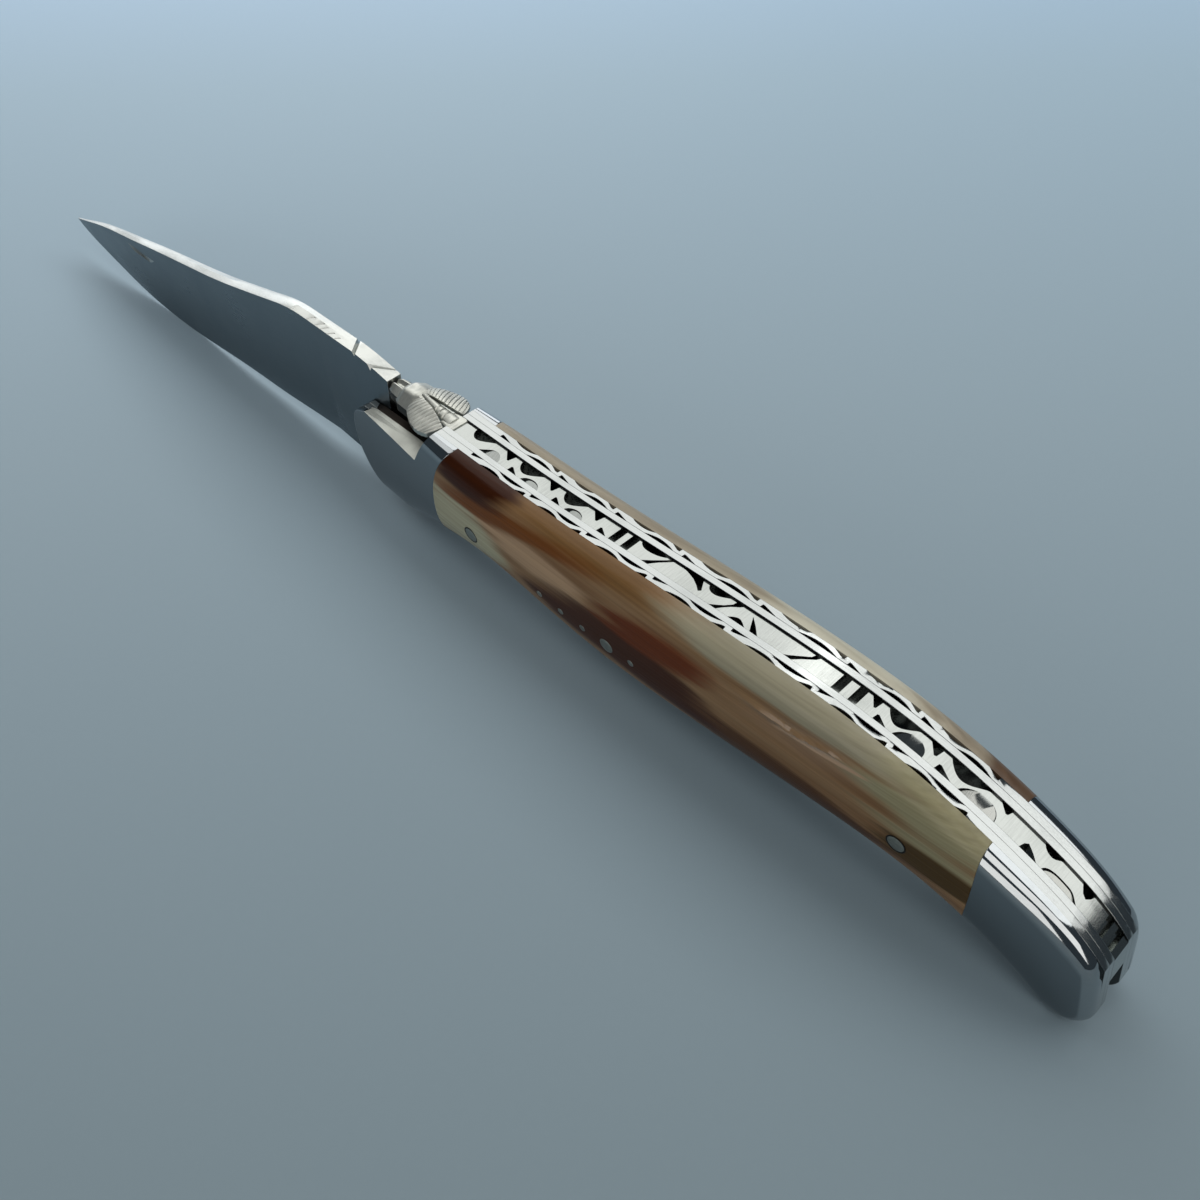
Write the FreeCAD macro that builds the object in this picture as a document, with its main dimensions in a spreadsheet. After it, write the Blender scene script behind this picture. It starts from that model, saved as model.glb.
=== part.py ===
"""Slip-joint folding pocket knife with horn scales, double liners and a filed back spring.

The open knife stands on its edge and butt: X runs from the blade's tip to the butt, Y to the left
side, Z up to the back. The origin is on the floor, under the middle of the knife.
"""
import FreeCAD
import Part

import math
import os

SIZES = (
    ("handle_length", 121.0, "front of the bolsters to the butt"),
    ("handle_depth", 20.0, "measure of the handle's side outline"),
    ("handle_thickness", 13.2, "across both scales"),
    ("pivot_setback", 11.0, "front of the bolsters to the pivot"),
    ("pivot_drop", 1.6, "pivot below the handle's axis"),
    ("rest_tilt", 1.07, "degrees that level the knife on its edge and butt"),
    ("axis_height", 11.57, "handle's axis above the floor at the pivot"),
    ("blade_reach", 102.4, "pivot to the blade's tip"),
    ("blade_height", 20.0, "measure of the blade's side outline"),
    ("blade_thickness", 2.4, "tang and heel"),
    ("edge_thickness", 0.2, "cutting edge before honing"),
    ("spine_roof", 0.35, "height of the ridge along the spine"),
    ("fold_angle", 177.0, "degrees from open to closed"),
    ("spring_width", 2.76, "slot between the inner liners"),
    ("inner_liner_thickness", 0.92, "plain liner"),
    ("outer_liner_thickness", 0.96, "filed liner"),
    ("spring_drop", 0.32, "spring below the liners' edges"),
    ("tang_flat", 6.0, "pivot to the flats that the spring rests on"),
    ("tang_lobe", 6.4, "pivot to the corner that lifts the spring"),
    ("kick_length", 13.0, "closed flat in front of the pivot"),
    ("lug_depth", 0.5, "lug under the spring's nose"),
    ("lug_length", 2.2, "lug along the spring's nose"),
    ("nose_reach", 4.6, "spring's nose in front of the pivot"),
    ("nose_length", 13.0, "spring's nose, under the bee"),
    ("seat_gap", 0.04, "between tang and spring at rest"),
    ("shoulder_gap", 0.2, "between blade shoulder and spring's nose"),
    ("pivot_diameter", 3.2, "peened pivot pin"),
    ("pivot_clearance", 0.03, "running fit of the blade on its pin, radial"),
    ("pin_clearance", 0.01, "close fit of pins, radial"),
    ("pin_recess", 0.1, "pin ends below the bolsters' skin"),
    ("trim_allowance", 0.25, "handle halves beyond their side outline before trimming"),
    ("pin_bite", 1.5, "tail pin into each bolster"),
    ("spring_pin_diameter", 1.8, "two pins that hold the spring"),
    ("rivet_diameter", 2.2, "scale rivets"),
    ("dot_diameter", 1.0, "small pins of the cross"),
    ("dot_pitch", 4.1, "spacing of the cross"),
    ("facet_reach", 5.6, "lowered facet beside the bee, behind the pivot"),
    ("step_lean", 2.6, "lean of the step at the facet's end"),
    ("filing_depth", 1.6, "depth of the filed cuts"),
    ("groove_floor", 0.5, "depth of the tail's grooves"),
    ("groove_width", 0.5, "filed nick on the blade's spine"),
    ("groove_depth", 0.4, "filed nick on the blade's spine"),
    ("nail_wheel_diameter", 28.0, "wheel that cuts the nail nick"),
    ("nail_width", 0.8, "rim of that wheel"),
    ("nail_depth", 0.42, "nail nick"),
    ("nail_lean", 28.0, "degrees that the wheel leans"),
    ("bee_length", 12.4, "head to neck plate"),
    ("bee_rise", 2.6, "bee above its seat"),
    ("wing_span", 8.4, "across both wings"),
    ("wing_thickness", 0.7, "wings"),
    ("wing_lift", 0.5, "wings above the bee's seat"),
    ("rib_width", 0.2, "grooves between the wings' ribs"),
    ("rib_depth", 0.15, "grooves between the wings' ribs"),
    ("overrun", 3.0, "extra length of every cutting solid"),
)

# Handle stations: along, back above the axis, belly below it, half thickness
STATION_SHARES = (
    (0.000, 0.486, 0.430, 0.585),
    (0.090, 0.482, 0.455, 0.745),
    (0.174, 0.478, 0.325, 0.900),
    (0.240, 0.472, 0.268, 0.960),
    (0.330, 0.476, 0.310, 0.985),
    (0.430, 0.502, 0.358, 1.000),
    (0.545, 0.540, 0.320, 1.000),
    (0.650, 0.560, 0.252, 0.985),
    (0.750, 0.540, 0.194, 0.960),
    (0.830, 0.462, 0.192, 0.930),
    (0.900, 0.345, 0.290, 0.890),
    (0.960, 0.190, 0.477, 0.820),
    (1.010, 0.032, 0.505, 0.750),
)
# Section of a handle half: out from the liners, down from the back
SECTION_SHARES = (
    (0.36, 0.012), (0.68, 0.060), (0.90, 0.160), (1.00, 0.360),
    (0.985, 0.560), (0.90, 0.760), (0.66, 0.920), (0.34, 0.988),
)
# Front end of the bolsters: forward from the pivot, above the axis
FRONT_SHARES = ((0.60, -0.425), (0.88, -0.250), (1.00, -0.020), (0.90, 0.170), (0.62, 0.245))
# Butt: both ends of its slanted flat, then the rounded corner's middle as shares of its box
BUTT_HEAD_SHARES = (0.9880, 0.065)
BUTT_FOOT_SHARES = (1.0000, -0.300)
CORNER_SHARES = (0.26, 0.68)
# Joints of the horn with the bolsters: along, above the axis
FRONT_JOINT_SHARES = ((0.2060, 0.560), (0.1670, -0.080), (0.1880, -0.560))
REAR_JOINT_SHARES = ((0.8620, 0.560), (0.8730, 0.100), (0.8660, -0.560))
# Blade stations: along, spine above the axis, edge below it, spine thickness
BLADE_SHARES = (
    (0.215, 0.548, 0.470, 0.96),
    (0.258, 0.544, 0.487, 0.95),
    (0.290, 0.522, 0.502, 0.94),
    (0.330, 0.472, 0.522, 0.92),
    (0.400, 0.380, 0.546, 0.90),
    (0.500, 0.260, 0.577, 0.86),
    (0.600, 0.164, 0.624, 0.80),
    (0.700, 0.066, 0.642, 0.72),
    (0.800, -0.038, 0.602, 0.60),
    (0.880, -0.125, 0.516, 0.46),
    (0.945, -0.222, 0.434, 0.30),
    (1.000, -0.308, 0.322, 0.12),
)
# Top of the tang: shoulder above the axis, then along, above the axis
SHOULDER_SHARE = 0.485
HEEL_SHARES = ((0.090, 0.520), (0.124, 0.535))
# Filed grooves of the spine: along, above the axis, from and to as shares of half the thickness, lean, size
GROOVE_SHARES = (
    (0.220, 0.548, 1.5, 0.10, 1.0, 0.9), (0.199, 0.548, 1.5, 0.05, 1.0, 1.0), (0.186, 0.547, 1.5, 0.20, 1.0, 0.9),
    (0.169, 0.546, 1.5, 0.30, 1.0, 1.0), (0.153, 0.543, 1.5, 0.40, 1.0, 0.8), (0.128, 0.536, 1.5, -1.5, -0.8, 1.6),
    (0.070, 0.506, 1.5, -1.1, 1.2, 1.4),
)
# Nail nick: along, above the axis
NAIL_SHARES = (0.752, -0.133)
# Underside of the spring behind its nose: along the handle, above the axis; it ends on the butt's flat
TAIL_END_SHARE = 0.52
UNDERSIDE_SHARES = (
    (0.205, 0.302), (0.300, 0.304), (0.420, 0.328), (0.545, 0.362), (0.640, 0.380),
    (0.735, 0.358), (0.800, 0.285), (0.868, 0.170), (0.934, 0.030),
)
# Pins: along the handle, above the axis
SPRING_PIN_SHARES = (0.480, 0.435)
TAIL_PIN_SHARES = (0.910, 0.190)
RIVET_SHARES = (("front", (0.2335, -0.055)), ("centre", (0.4470, -0.105)), ("rear", (0.8000, 0.070)))
# Cross round the centre rivet, in pitches: along, up
CROSS_SHARES = ((0.20, 1.22), (1.02, 0.05), (-1.05, -0.05), (-2.03, -0.07), (-3.00, -0.02), (-0.20, -0.95))
# Seat of the bee and lowered facet beside it, above the axis
NOSE_TOP_SHARE = 0.40
FACET_SHARE = 0.23
# Filed cuts: kind, edge (0 right or inner, 1 left or outer), outline from brim to brim: along, across
LINER_WAVE_SHARES = (
    ("notch", 0, ((0.030, 0), (0.036, 0.52), (0.060, 0.50), (0.215, 0))),
    ("scoop", 1, ((0.230, 1), (0.320, 0.66), (0.420, 0.56), (0.510, 0.68), (0.580, 1))),
    ("scoop", 0, ((0.480, 0), (0.560, 0.30), (0.670, 0.50), (0.790, 0.40), (0.910, 0))),
    ("notch", 1, ((0.830, 1), (0.930, 0.50), (0.965, 0.46), (0.972, 1))),
)
FIRST_VINE_SHARES = (
    ("scoop", 0, ((0.295, 0), (0.325, 0.34), (0.434, 0.55), (0.580, 0.42), (0.720, 0.15), (0.960, 0))),
    ("hollow", 1, ((0.600, 1), (0.725, 0.78), (0.826, 0.53), (0.946, 0.44), (1.040, 0.56), (1.110, 1))),
)
V_SHARES = (
    ("notch", 0, ((0.000, 0), (0.170, 0.49), (0.200, 0.47), (0.235, 0))),
    ("notch", 1, ((0.335, 1), (0.345, 0.64), (0.370, 0.61), (0.575, 1))),
)
VINE_SHARES = V_SHARES + (
    ("scoop", 0, ((0.385, 0), (0.455, 0.42), (0.560, 0.58), (0.690, 0.48), (0.830, 0.18), (0.950, 0))),
    ("hollow", 1, ((0.630, 1), (0.690, 0.70), (0.800, 0.58), (0.920, 0.63), (1.030, 1))),
)
REAR_VINE_SHARES = (
    ("notch", 0, ((0.000, 0), (0.135, 0.50), (0.165, 0.46), (0.190, 0))),
    ("notch", 1, ((0.225, 1), (0.245, 0.64), (0.275, 0.62), (0.500, 1))),
    ("scoop", 0, ((0.290, 0), (0.390, 0.36), (0.520, 0.56), (0.640, 0.46), (0.760, 0.20), (0.960, 0))),
    ("hollow", 1, ((0.555, 1), (0.620, 0.68), (0.720, 0.46), (0.850, 0.36), (0.970, 0.44), (1.070, 1))),
)
MIDDLE_SHARES = (
    ("slot", 0, ((0.000, 0), (0.030, 1))),
    ("slot", 0, ((0.054, 0), (0.086, 1))),
    ("scoop", 0, ((0.092, 0), (0.116, 0.28), (0.149, 0.32), (0.181, 0.24), (0.216, 0))),
    ("notch", 1, ((0.143, 1), (0.181, 0.58), (0.214, 0.17), (0.230, -0.3), (0.257, -0.3), (0.227, 0.18),
        (0.200, 0.54), (0.173, 1))),
    ("notch", 0, ((0.259, 0), (0.300, 0.12), (0.330, 0.25), (0.357, 0.46), (0.376, 0.66), (0.384, 0.55),
        (0.359, 0))),
    ("scoop", 0, ((0.386, 0), (0.411, 0.34), (0.438, 0.32), (0.468, 0.12), (0.492, 0))),
    ("notch", 1, ((0.430, 1), (0.451, 0.8), (0.476, 0.55), (0.495, 0.25), (0.503, -0.3), (0.549, -0.3),
        (0.519, 0.18), (0.497, 0.42), (0.478, 0.7), (0.462, 1))),
    ("scoop", 1, ((0.511, 1), (0.530, 0.76), (0.546, 0.68), (0.568, 0.79), (0.589, 1))),
    ("notch", 1, ((0.605, 1), (0.584, 0.48), (0.573, 0.21), (0.603, 0.54), (0.638, 1))),
    ("notch", 1, ((0.724, 1), (0.746, 0.82), (0.770, 0.57), (0.800, 0.25), (0.814, -0.3), (0.841, -0.3),
        (0.816, 0.25), (0.786, 0.6), (0.757, 1))),
    ("slot", 0, ((0.908, 0), (0.938, 1))),
    ("slot", 0, ((0.968, 0), (0.997, 1))),
)
TAIL_SHARES = (
    ("notch", 0, ((0.852, 0), (0.861, 0.32), (0.863, 0.29), (0.865, 0))),
    ("notch", 1, ((0.884, 1), (0.886, 0.68), (0.889, 0.54), (0.896, 0.72), (0.904, 1))),
    ("scoop", 0, ((0.898, 0), (0.904, 0.24), (0.910, 0.25), (0.915, 0.09), (0.920, 0))),
    ("hollow", 1, ((0.907, 1), (0.910, 0.76), (0.917, 0.64), (0.927, 0.62), (0.936, 0.67),
        (0.941, 0.84), (0.945, 1))),
    ("notch", 0, ((0.937, 0), (0.942, 0.34), (0.946, 0.44), (0.949, 0.26), (0.951, 0))),
    ("groove", 0, ((0.966, 0), (0.972, 1))),
    ("groove", 0, ((0.977, 0), (0.983, 1))),
)
# Leaning floor of the hollows: fall across the spring, and where it starts from the right
HOLLOW_FALL_SHARE = 0.55
HOLLOW_START_SHARE = 0.40
# Where the filed waves of the liners begin and end, along the handle
LINER_FEET_SHARES = (0.2107, 0.3033, 0.3860, 0.4777, 0.5769, 0.6785, 0.7587, 0.8430)
# Runs of the spring's filing: cuts, begin and end along the handle
SPRING_RUN_SHARES = (
    (FIRST_VINE_SHARES, 0.1660, 0.2334), (VINE_SHARES, 0.2334, 0.3017), (VINE_SHARES, 0.3017, 0.3678),
    (V_SHARES, 0.3678, 0.4350), (MIDDLE_SHARES, 0.4074, 0.7132), (REAR_VINE_SHARES, 0.7163, 0.7790),
    (REAR_VINE_SHARES, 0.7790, 0.8537), (TAIL_SHARES, 0.0000, 1.0000),
)
# Bee: along its length, half width, height
BEE_SECTION_SHARES = (
    (0.000, 0.55, 0.42), (0.050, 0.95, 0.70), (0.120, 1.00, 0.78), (0.190, 0.80, 0.62), (0.225, 0.95, 0.70),
    (0.290, 1.32, 0.92), (0.380, 1.28, 0.98), (0.460, 0.80, 0.86), (0.540, 0.42, 0.78), (0.700, 0.55, 0.70),
    (0.860, 0.80, 0.58), (0.940, 0.95, 0.54), (1.000, 0.97, 0.56),
)
# Arch of the bee: across, up
ARCH_SHARES = ((-1.0, 0.0), (-0.94, 0.55), (-0.62, 0.86), (0.0, 1.0), (0.62, 0.86), (0.94, 0.55), (1.0, 0.0))
# Wing: along the bee, out to the wing's tip
WING_SHARES = (
    (0.430, 0.16), (0.440, 0.48), (0.520, 0.74), (0.620, 0.90), (0.740, 0.98), (0.860, 1.00), (0.930, 0.86),
    (0.950, 0.44),
)
WING_ROOT_SHARES = (0.520, 0.10)
# Ribs across the wing, along it from its root to its tip
WING_TIP_SHARES = (0.930, 0.72)
RIB_SHARES = (0.16, 0.29, 0.42, 0.55, 0.68, 0.81, 0.93)

doc = FreeCAD.newDocument("folding_knife")
sheet = doc.addObject("Spreadsheet::Sheet", "sizes")
for row, (alias, value, note) in enumerate(SIZES, 1):
    sheet.set("A%d" % row, alias)
    sheet.set("B%d" % row, str(value))
    sheet.set("C%d" % row, note)
    sheet.setAlias("B%d" % row, alias)
doc.recompute()


def size(alias):
    """Value of a cell of the sheet."""
    return float(sheet.get(alias))


LENGTH = size("handle_length")
DEPTH = size("handle_depth")
HALF = size("handle_thickness") / 2
SETBACK = size("pivot_setback")
REACH = size("blade_reach")
TALL = size("blade_height")
OVERRUN = size("overrun")
TILT = math.radians(size("rest_tilt"))
MIDDLE_X = (REACH - (LENGTH - SETBACK)) / 2
SLOT = size("spring_width") / 2
LINER_SEAM = SLOT + size("inner_liner_thickness")
LINER_FACE = LINER_SEAM + size("outer_liner_thickness")
FACE_RULE = "sizes.spring_width / 2 + sizes.inner_liner_thickness + sizes.outer_liner_thickness"
TAIL_RULE = FACE_RULE + " + sizes.pin_bite"


def flat(along, up):
    """Sketch point from distances behind the pivot and above the handle's axis."""
    x = along * math.cos(TILT) + up * math.sin(TILT)
    z = up * math.cos(TILT) - along * math.sin(TILT)
    return FreeCAD.Vector(MIDDLE_X + x, size("axis_height") + z, 0)


def solid_point(spot, across):
    """Point of the part from a sketch point and a distance from the middle plane."""
    return FreeCAD.Vector(spot.x, across, spot.y)


def on_handle(along_share, up_share):
    """Sketch point from shares of the handle's length and depth."""
    return flat(along_share * LENGTH - SETBACK, up_share * DEPTH)


def on_blade(along_share, up_share):
    """Sketch point from shares of the blade's reach and height."""
    return flat(-along_share * REACH, up_share * TALL)


def round_pivot(along, up):
    """Sketch point from distances behind and above the pivot."""
    return flat(along, up - size("pivot_drop"))


PIVOT = round_pivot(0, 0)


def spline(points):
    """Smooth curve through points."""
    curve = Part.BSplineCurve()
    curve.interpolate(points)
    return curve


def chain(points):
    """Straight lines from point to point."""
    return [Part.LineSegment(a, b) for a, b in zip(points, points[1:])]


def closed(points):
    """Straight lines round a polygon."""
    return chain(list(points) + [points[0]])


def body_plate(name, curves, width_rule, start_rule):
    """Flat body from a side outline, its width and its start across the knife set by rules."""
    body = doc.addObject("PartDesign::Body", name)
    plane = [held for held in body.Origin.OriginFeatures if held.Role == "XZ_Plane"][0]
    sketch = body.newObject("Sketcher::SketchObject", name + "_outline")
    sketch.AttachmentSupport = [(plane, "")]
    sketch.MapMode = "FlatFace"
    sketch.addGeometry(curves)
    pad = body.newObject("PartDesign::Pad", name + "_pad")
    pad.Profile = sketch
    pad.Reversed = True
    pad.setExpression("Length", width_rule)
    body.setExpression(".Placement.Base.y", start_rule)
    return body


def extrusion(name, curves, width_rule, start_rule):
    """Solid from a side outline, used to cut or trim others."""
    sketch = doc.addObject("Sketcher::SketchObject", name + "_outline")
    sketch.Placement.Rotation = FreeCAD.Rotation(FreeCAD.Vector(1, 0, 0), 90)
    sketch.addGeometry(curves)
    sketch.setExpression(".Placement.Base.y", start_rule)
    pushed = doc.addObject("Part::Extrusion", name)
    pushed.Base = sketch
    pushed.DirMode = "Custom"
    pushed.Dir = FreeCAD.Vector(0, 1, 0)
    pushed.Solid = True
    pushed.setExpression("LengthFwd", width_rule)
    return pushed


def loft(name, wires):
    """Smooth solid through closed wires."""
    held = []
    for number, wire in enumerate(wires, 1):
        section = doc.addObject("Part::Feature", "%s_section_%d" % (name, number))
        section.Shape = wire
        held.append(section)
    swept = doc.addObject("Part::Loft", name)
    swept.Sections = held
    swept.Solid = True
    return swept


def cylinder(name, spot, diameter_alias, clearance_rule, start_rule, length_rule):
    """Round solid across the knife."""
    rod = doc.addObject("Part::Cylinder", name)
    rod.Placement = FreeCAD.Placement(solid_point(spot, 0), FreeCAD.Rotation(FreeCAD.Vector(1, 0, 0), -90))
    rod.setExpression("Radius", "sizes.%s / 2 + %s" % (diameter_alias, clearance_rule))
    rod.setExpression("Height", length_rule)
    rod.setExpression(".Placement.Base.y", start_rule)
    return rod


def through_hole(name, spot, diameter_alias, clearance_alias):
    """Cutting cylinder across the whole handle."""
    return cylinder(name, spot, diameter_alias, "sizes." + clearance_alias,
                    "-sizes.handle_thickness / 2 - sizes.overrun", "sizes.handle_thickness + 2 * sizes.overrun")


def combined(kind, name, shapes):
    """Union or common part of several objects."""
    joined = doc.addObject("Part::" + kind, name)
    joined.Shapes = shapes
    return joined


def cut(name, base, tools):
    """Base with tools removed."""
    result = doc.addObject("Part::Cut", name)
    result.Base = base
    result.Tool = tools[0] if len(tools) == 1 else combined("MultiFuse", name + "_tools", tools)
    return result


def mirrored(name, source):
    """Right-hand twin of a left-hand piece."""
    twin = doc.addObject("Part::Mirroring", name)
    twin.Source = source
    twin.Normal = FreeCAD.Vector(0, 1, 0)
    return twin


def back_points(lift=0.0, first=1):
    """Sketch points of the back, from a station to the butt."""
    spots = [on_handle(x, up) for x, up, _, _ in STATION_SHARES[first:-1]] + [on_handle(*BUTT_HEAD_SHARES)]
    return [spot + FreeCAD.Vector(0, lift, 0) for spot in spots]


def handle_outline():
    """Side outline of liners and bolsters, before the step beside the bee."""
    back = back_points()
    belly = [on_handle(x, -down) for x, _, down, _ in reversed(STATION_SHARES[1:-1])]
    front = [belly[-1]] + [flat(-x * SETBACK, z * DEPTH) for x, z in FRONT_SHARES]
    end = on_handle(*BUTT_FOOT_SHARES)
    box = belly[0] - end
    corner = end + FreeCAD.Vector(box.x * CORNER_SHARES[0], box.y * CORNER_SHARES[1], 0)
    return [spline(back), Part.LineSegment(back[-1], end), Part.Arc(end, corner, belly[0]), spline(belly),
            spline(front), Part.LineSegment(front[-1], back[0])]


def step_outline():
    """Space over the lowered facets and in front of the step."""
    low = FACET_SHARE * DEPTH
    behind = size("facet_reach") + size("step_lean")
    before = -SETBACK - OVERRUN
    head = flat(behind, STATION_SHARES[1][1] * DEPTH)
    return closed([flat(size("facet_reach"), low), head, flat(behind, DEPTH), flat(before, DEPTH), flat(before, low)])


def half_wires():
    """Sections of the handle's rounded left half, from the slot outwards."""
    wires = []
    for along, back, belly, half in STATION_SHARES:
        top = on_handle(along, back) + FreeCAD.Vector(0, size("trim_allowance"), 0)
        bottom = on_handle(along, -belly) - FreeCAD.Vector(0, size("trim_allowance"), 0)
        bulge = half * HALF - LINER_FACE
        side = [solid_point(top, LINER_FACE)]
        side += [solid_point(top + (bottom - top) * down, LINER_FACE + bulge * out) for out, down in SECTION_SHARES]
        side.append(solid_point(bottom, LINER_FACE))
        inner = [solid_point(bottom, SLOT), solid_point(top, SLOT)]
        edges = [spline(side)] + chain([side[-1], inner[0], inner[1], side[0]])
        wires.append(Part.Wire([edge.toShape() for edge in edges]))
    return wires


def joint_outlines():
    """Side outlines of the stretches that front bolster, scale and rear bolster take up."""
    front = [on_handle(x, up) for x, up in FRONT_JOINT_SHARES]
    rear = [on_handle(x, up) for x, up in REAR_JOINT_SHARES]
    before = flat(-SETBACK - OVERRUN, 0).x
    behind = on_handle(1.0, 0).x + OVERRUN
    ahead = [FreeCAD.Vector(before, front[-1].y, 0), FreeCAD.Vector(before, front[0].y, 0)]
    astern = [FreeCAD.Vector(behind, rear[-1].y, 0), FreeCAD.Vector(behind, rear[0].y, 0)]
    return (("front_bolster", [Part.Arc(*front)] + chain([front[-1], *ahead, front[0]])),
            ("scale", [Part.Arc(*front), Part.Arc(*rear)] + chain([front[-1], rear[-1]])
             + chain([rear[0], front[0]])),
            ("rear_bolster", [Part.Arc(*rear)] + chain([rear[-1], *astern, rear[0]])))


def filed_cut(kind, edge, points, near, far):
    """Upright cutting solid of one filed cut in a piece between near and far."""
    spots = [FreeCAD.Vector(along, near + (far - near) * across, 0) for along, across in points]
    if kind in ("slot", "groove"):
        first, last = spots[0].x, spots[-1].x
        curves = closed([FreeCAD.Vector(first, near - OVERRUN, 0), FreeCAD.Vector(last, near - OVERRUN, 0),
                         FreeCAD.Vector(last, far + OVERRUN, 0), FreeCAD.Vector(first, far + OVERRUN, 0)])
    else:
        out = FreeCAD.Vector(0, (far - near) * (2 * edge - 1), 0)
        curves = chain(spots) if kind == "notch" else [spline(spots)]
        curves += chain([spots[-1], spots[-1] + out, spots[0] + out, spots[0]])
    face = Part.Face(Part.Wire([curve.toShape() for curve in curves]))
    return face.extrude(FreeCAD.Vector(0, 0, 2 * DEPTH))


def filed_run(rows, begin, end, near, far):
    """Cutting solids of one run of filing, each with its kind."""
    run = []
    for kind, edge, outline in rows:
        points = [(begin + (end - begin) * along, across) for along, across in outline]
        run.append((kind, filed_cut(kind, edge, points, near, far)))
    return run


def filing(name, cuts, depth, width_rule, start_rule, fall=0.0):
    """Cuts limited to the layer under the back that the file reaches, its floor falling to the left."""
    over = back_points(OVERRUN - depth)
    floor = back_points(-depth)
    band = extrusion(name + "_band", [spline(over), spline(floor)] + chain([over[-1], floor[-1]])
                     + chain([floor[0], over[0]]), width_rule, start_rule)
    band.Dir = FreeCAD.Vector(0, 1, -fall)
    held = doc.addObject("Part::Feature", name + "_cuts")
    held.Shape = Part.makeCompound(cuts)
    return combined("MultiCommon", name, [held, band])


step = extrusion("step_space", step_outline(), "sizes.handle_thickness + 2 * sizes.overrun",
                 "-sizes.handle_thickness / 2 - sizes.overrun")
half = loft("handle_half", half_wires())
pivot_hole = through_hole("pivot_hole", PIVOT, "pivot_diameter", "pin_clearance")
spring_hole = through_hole("spring_pin_hole", on_handle(*SPRING_PIN_SHARES), "spring_pin_diameter", "pin_clearance")
tail_hole = cylinder("tail_pin_hole", on_handle(*TAIL_PIN_SHARES), "spring_pin_diameter", "sizes.pin_clearance",
                     "-(%s) - sizes.pin_clearance" % TAIL_RULE, "2 * (%s + sizes.pin_clearance)" % TAIL_RULE)
rivet_holes = [through_hole(place + "_rivet_hole", on_handle(*shares), "rivet_diameter", "pin_clearance")
               for place, shares in RIVET_SHARES]


def dot_spots():
    """Sketch points of the small pins round the centre rivet."""
    centre = on_handle(*dict(RIVET_SHARES)["centre"])
    return [centre + FreeCAD.Vector(along, up, 0) * size("dot_pitch") for along, up in CROSS_SHARES]


dot_holes = [through_hole("dot_hole_%d" % number, spot, "dot_diameter", "pin_clearance")
             for number, spot in enumerate(dot_spots(), 1)]
pieces = []


def make_liners():
    """Inner and outer liners of both sides."""
    tools = [step, pivot_hole, spring_hole, tail_hole] + rivet_holes
    plain = body_plate("inner_liner_blank", handle_outline(), "sizes.inner_liner_thickness", "sizes.spring_width / 2")
    inner = cut("inner_liner_left", plain, tools)
    seam_rule = "sizes.spring_width / 2 + sizes.inner_liner_thickness"
    blank = body_plate("outer_liner_blank", handle_outline(), "sizes.outer_liner_thickness", seam_rule)
    feet = [on_handle(share, 0).x for share in LINER_FEET_SHARES]
    cuts = []
    for begin, end in zip(feet, feet[1:]):
        cuts += [solid for _, solid in filed_run(LINER_WAVE_SHARES, begin, end, LINER_SEAM, LINER_FACE)]
    filed = filing("liner_filing", cuts, size("filing_depth"), "sizes.handle_thickness", "0")
    outer = cut("outer_liner_left", blank, tools + [filed])
    pieces.extend([inner, mirrored("inner_liner_right", inner), outer, mirrored("outer_liner_right", outer)])


def make_sides():
    """Bolsters and horn scales of both sides."""
    trim = extrusion("handle_trim", handle_outline(), "sizes.handle_thickness", FACE_RULE)
    holes = {"front_bolster": [step, pivot_hole], "scale": rivet_holes, "rear_bolster": [tail_hole]}
    for kind, outline in joint_outlines():
        stretch = extrusion(kind + "_stretch", outline, "sizes.handle_thickness", FACE_RULE)
        blank = combined("MultiCommon", kind + "_blank", [half, trim, stretch])
        plain = cut(kind + "_plain", blank, holes[kind])
        left = cut(kind + "_left", plain, dot_holes) if kind == "scale" else plain
        left.Label = kind + "_left"
        pieces.extend([left, mirrored(kind + "_right", plain)])


def make_pins():
    """Pivot, spring pins, scale rivets and the small pins of the cross."""
    skin_rule = "(sizes.handle_thickness / 2 * %g - sizes.pin_recess)" % STATION_SHARES[1][3]
    pieces.append(cylinder("pivot_pin", PIVOT, "pivot_diameter", "0", "-" + skin_rule, "2 * " + skin_rule))
    pieces.append(cylinder("spring_pin", on_handle(*SPRING_PIN_SHARES), "spring_pin_diameter", "0",
                           "-(%s)" % FACE_RULE, "2 * (%s)" % FACE_RULE))
    pieces.append(cylinder("tail_pin", on_handle(*TAIL_PIN_SHARES), "spring_pin_diameter", "0",
                           "-(%s)" % TAIL_RULE, "2 * (%s)" % TAIL_RULE))
    for place, shares in RIVET_SHARES:
        rod = cylinder(place + "_rod", on_handle(*shares), "rivet_diameter", "0", "sizes.spring_width / 2",
                       "sizes.handle_thickness")
        left = combined("MultiCommon", place + "_rivet_left", [rod, half])
        pieces.extend([left, mirrored(place + "_rivet_right", left)])
    rods = [cylinder("dot_rod_%d" % number, spot, "dot_diameter", "0", FACE_RULE, "sizes.handle_thickness")
            for number, spot in enumerate(dot_spots(), 1)]
    pieces.append(combined("MultiCommon", "cross_pins", [combined("MultiFuse", "dot_rods", rods), half]))


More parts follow.
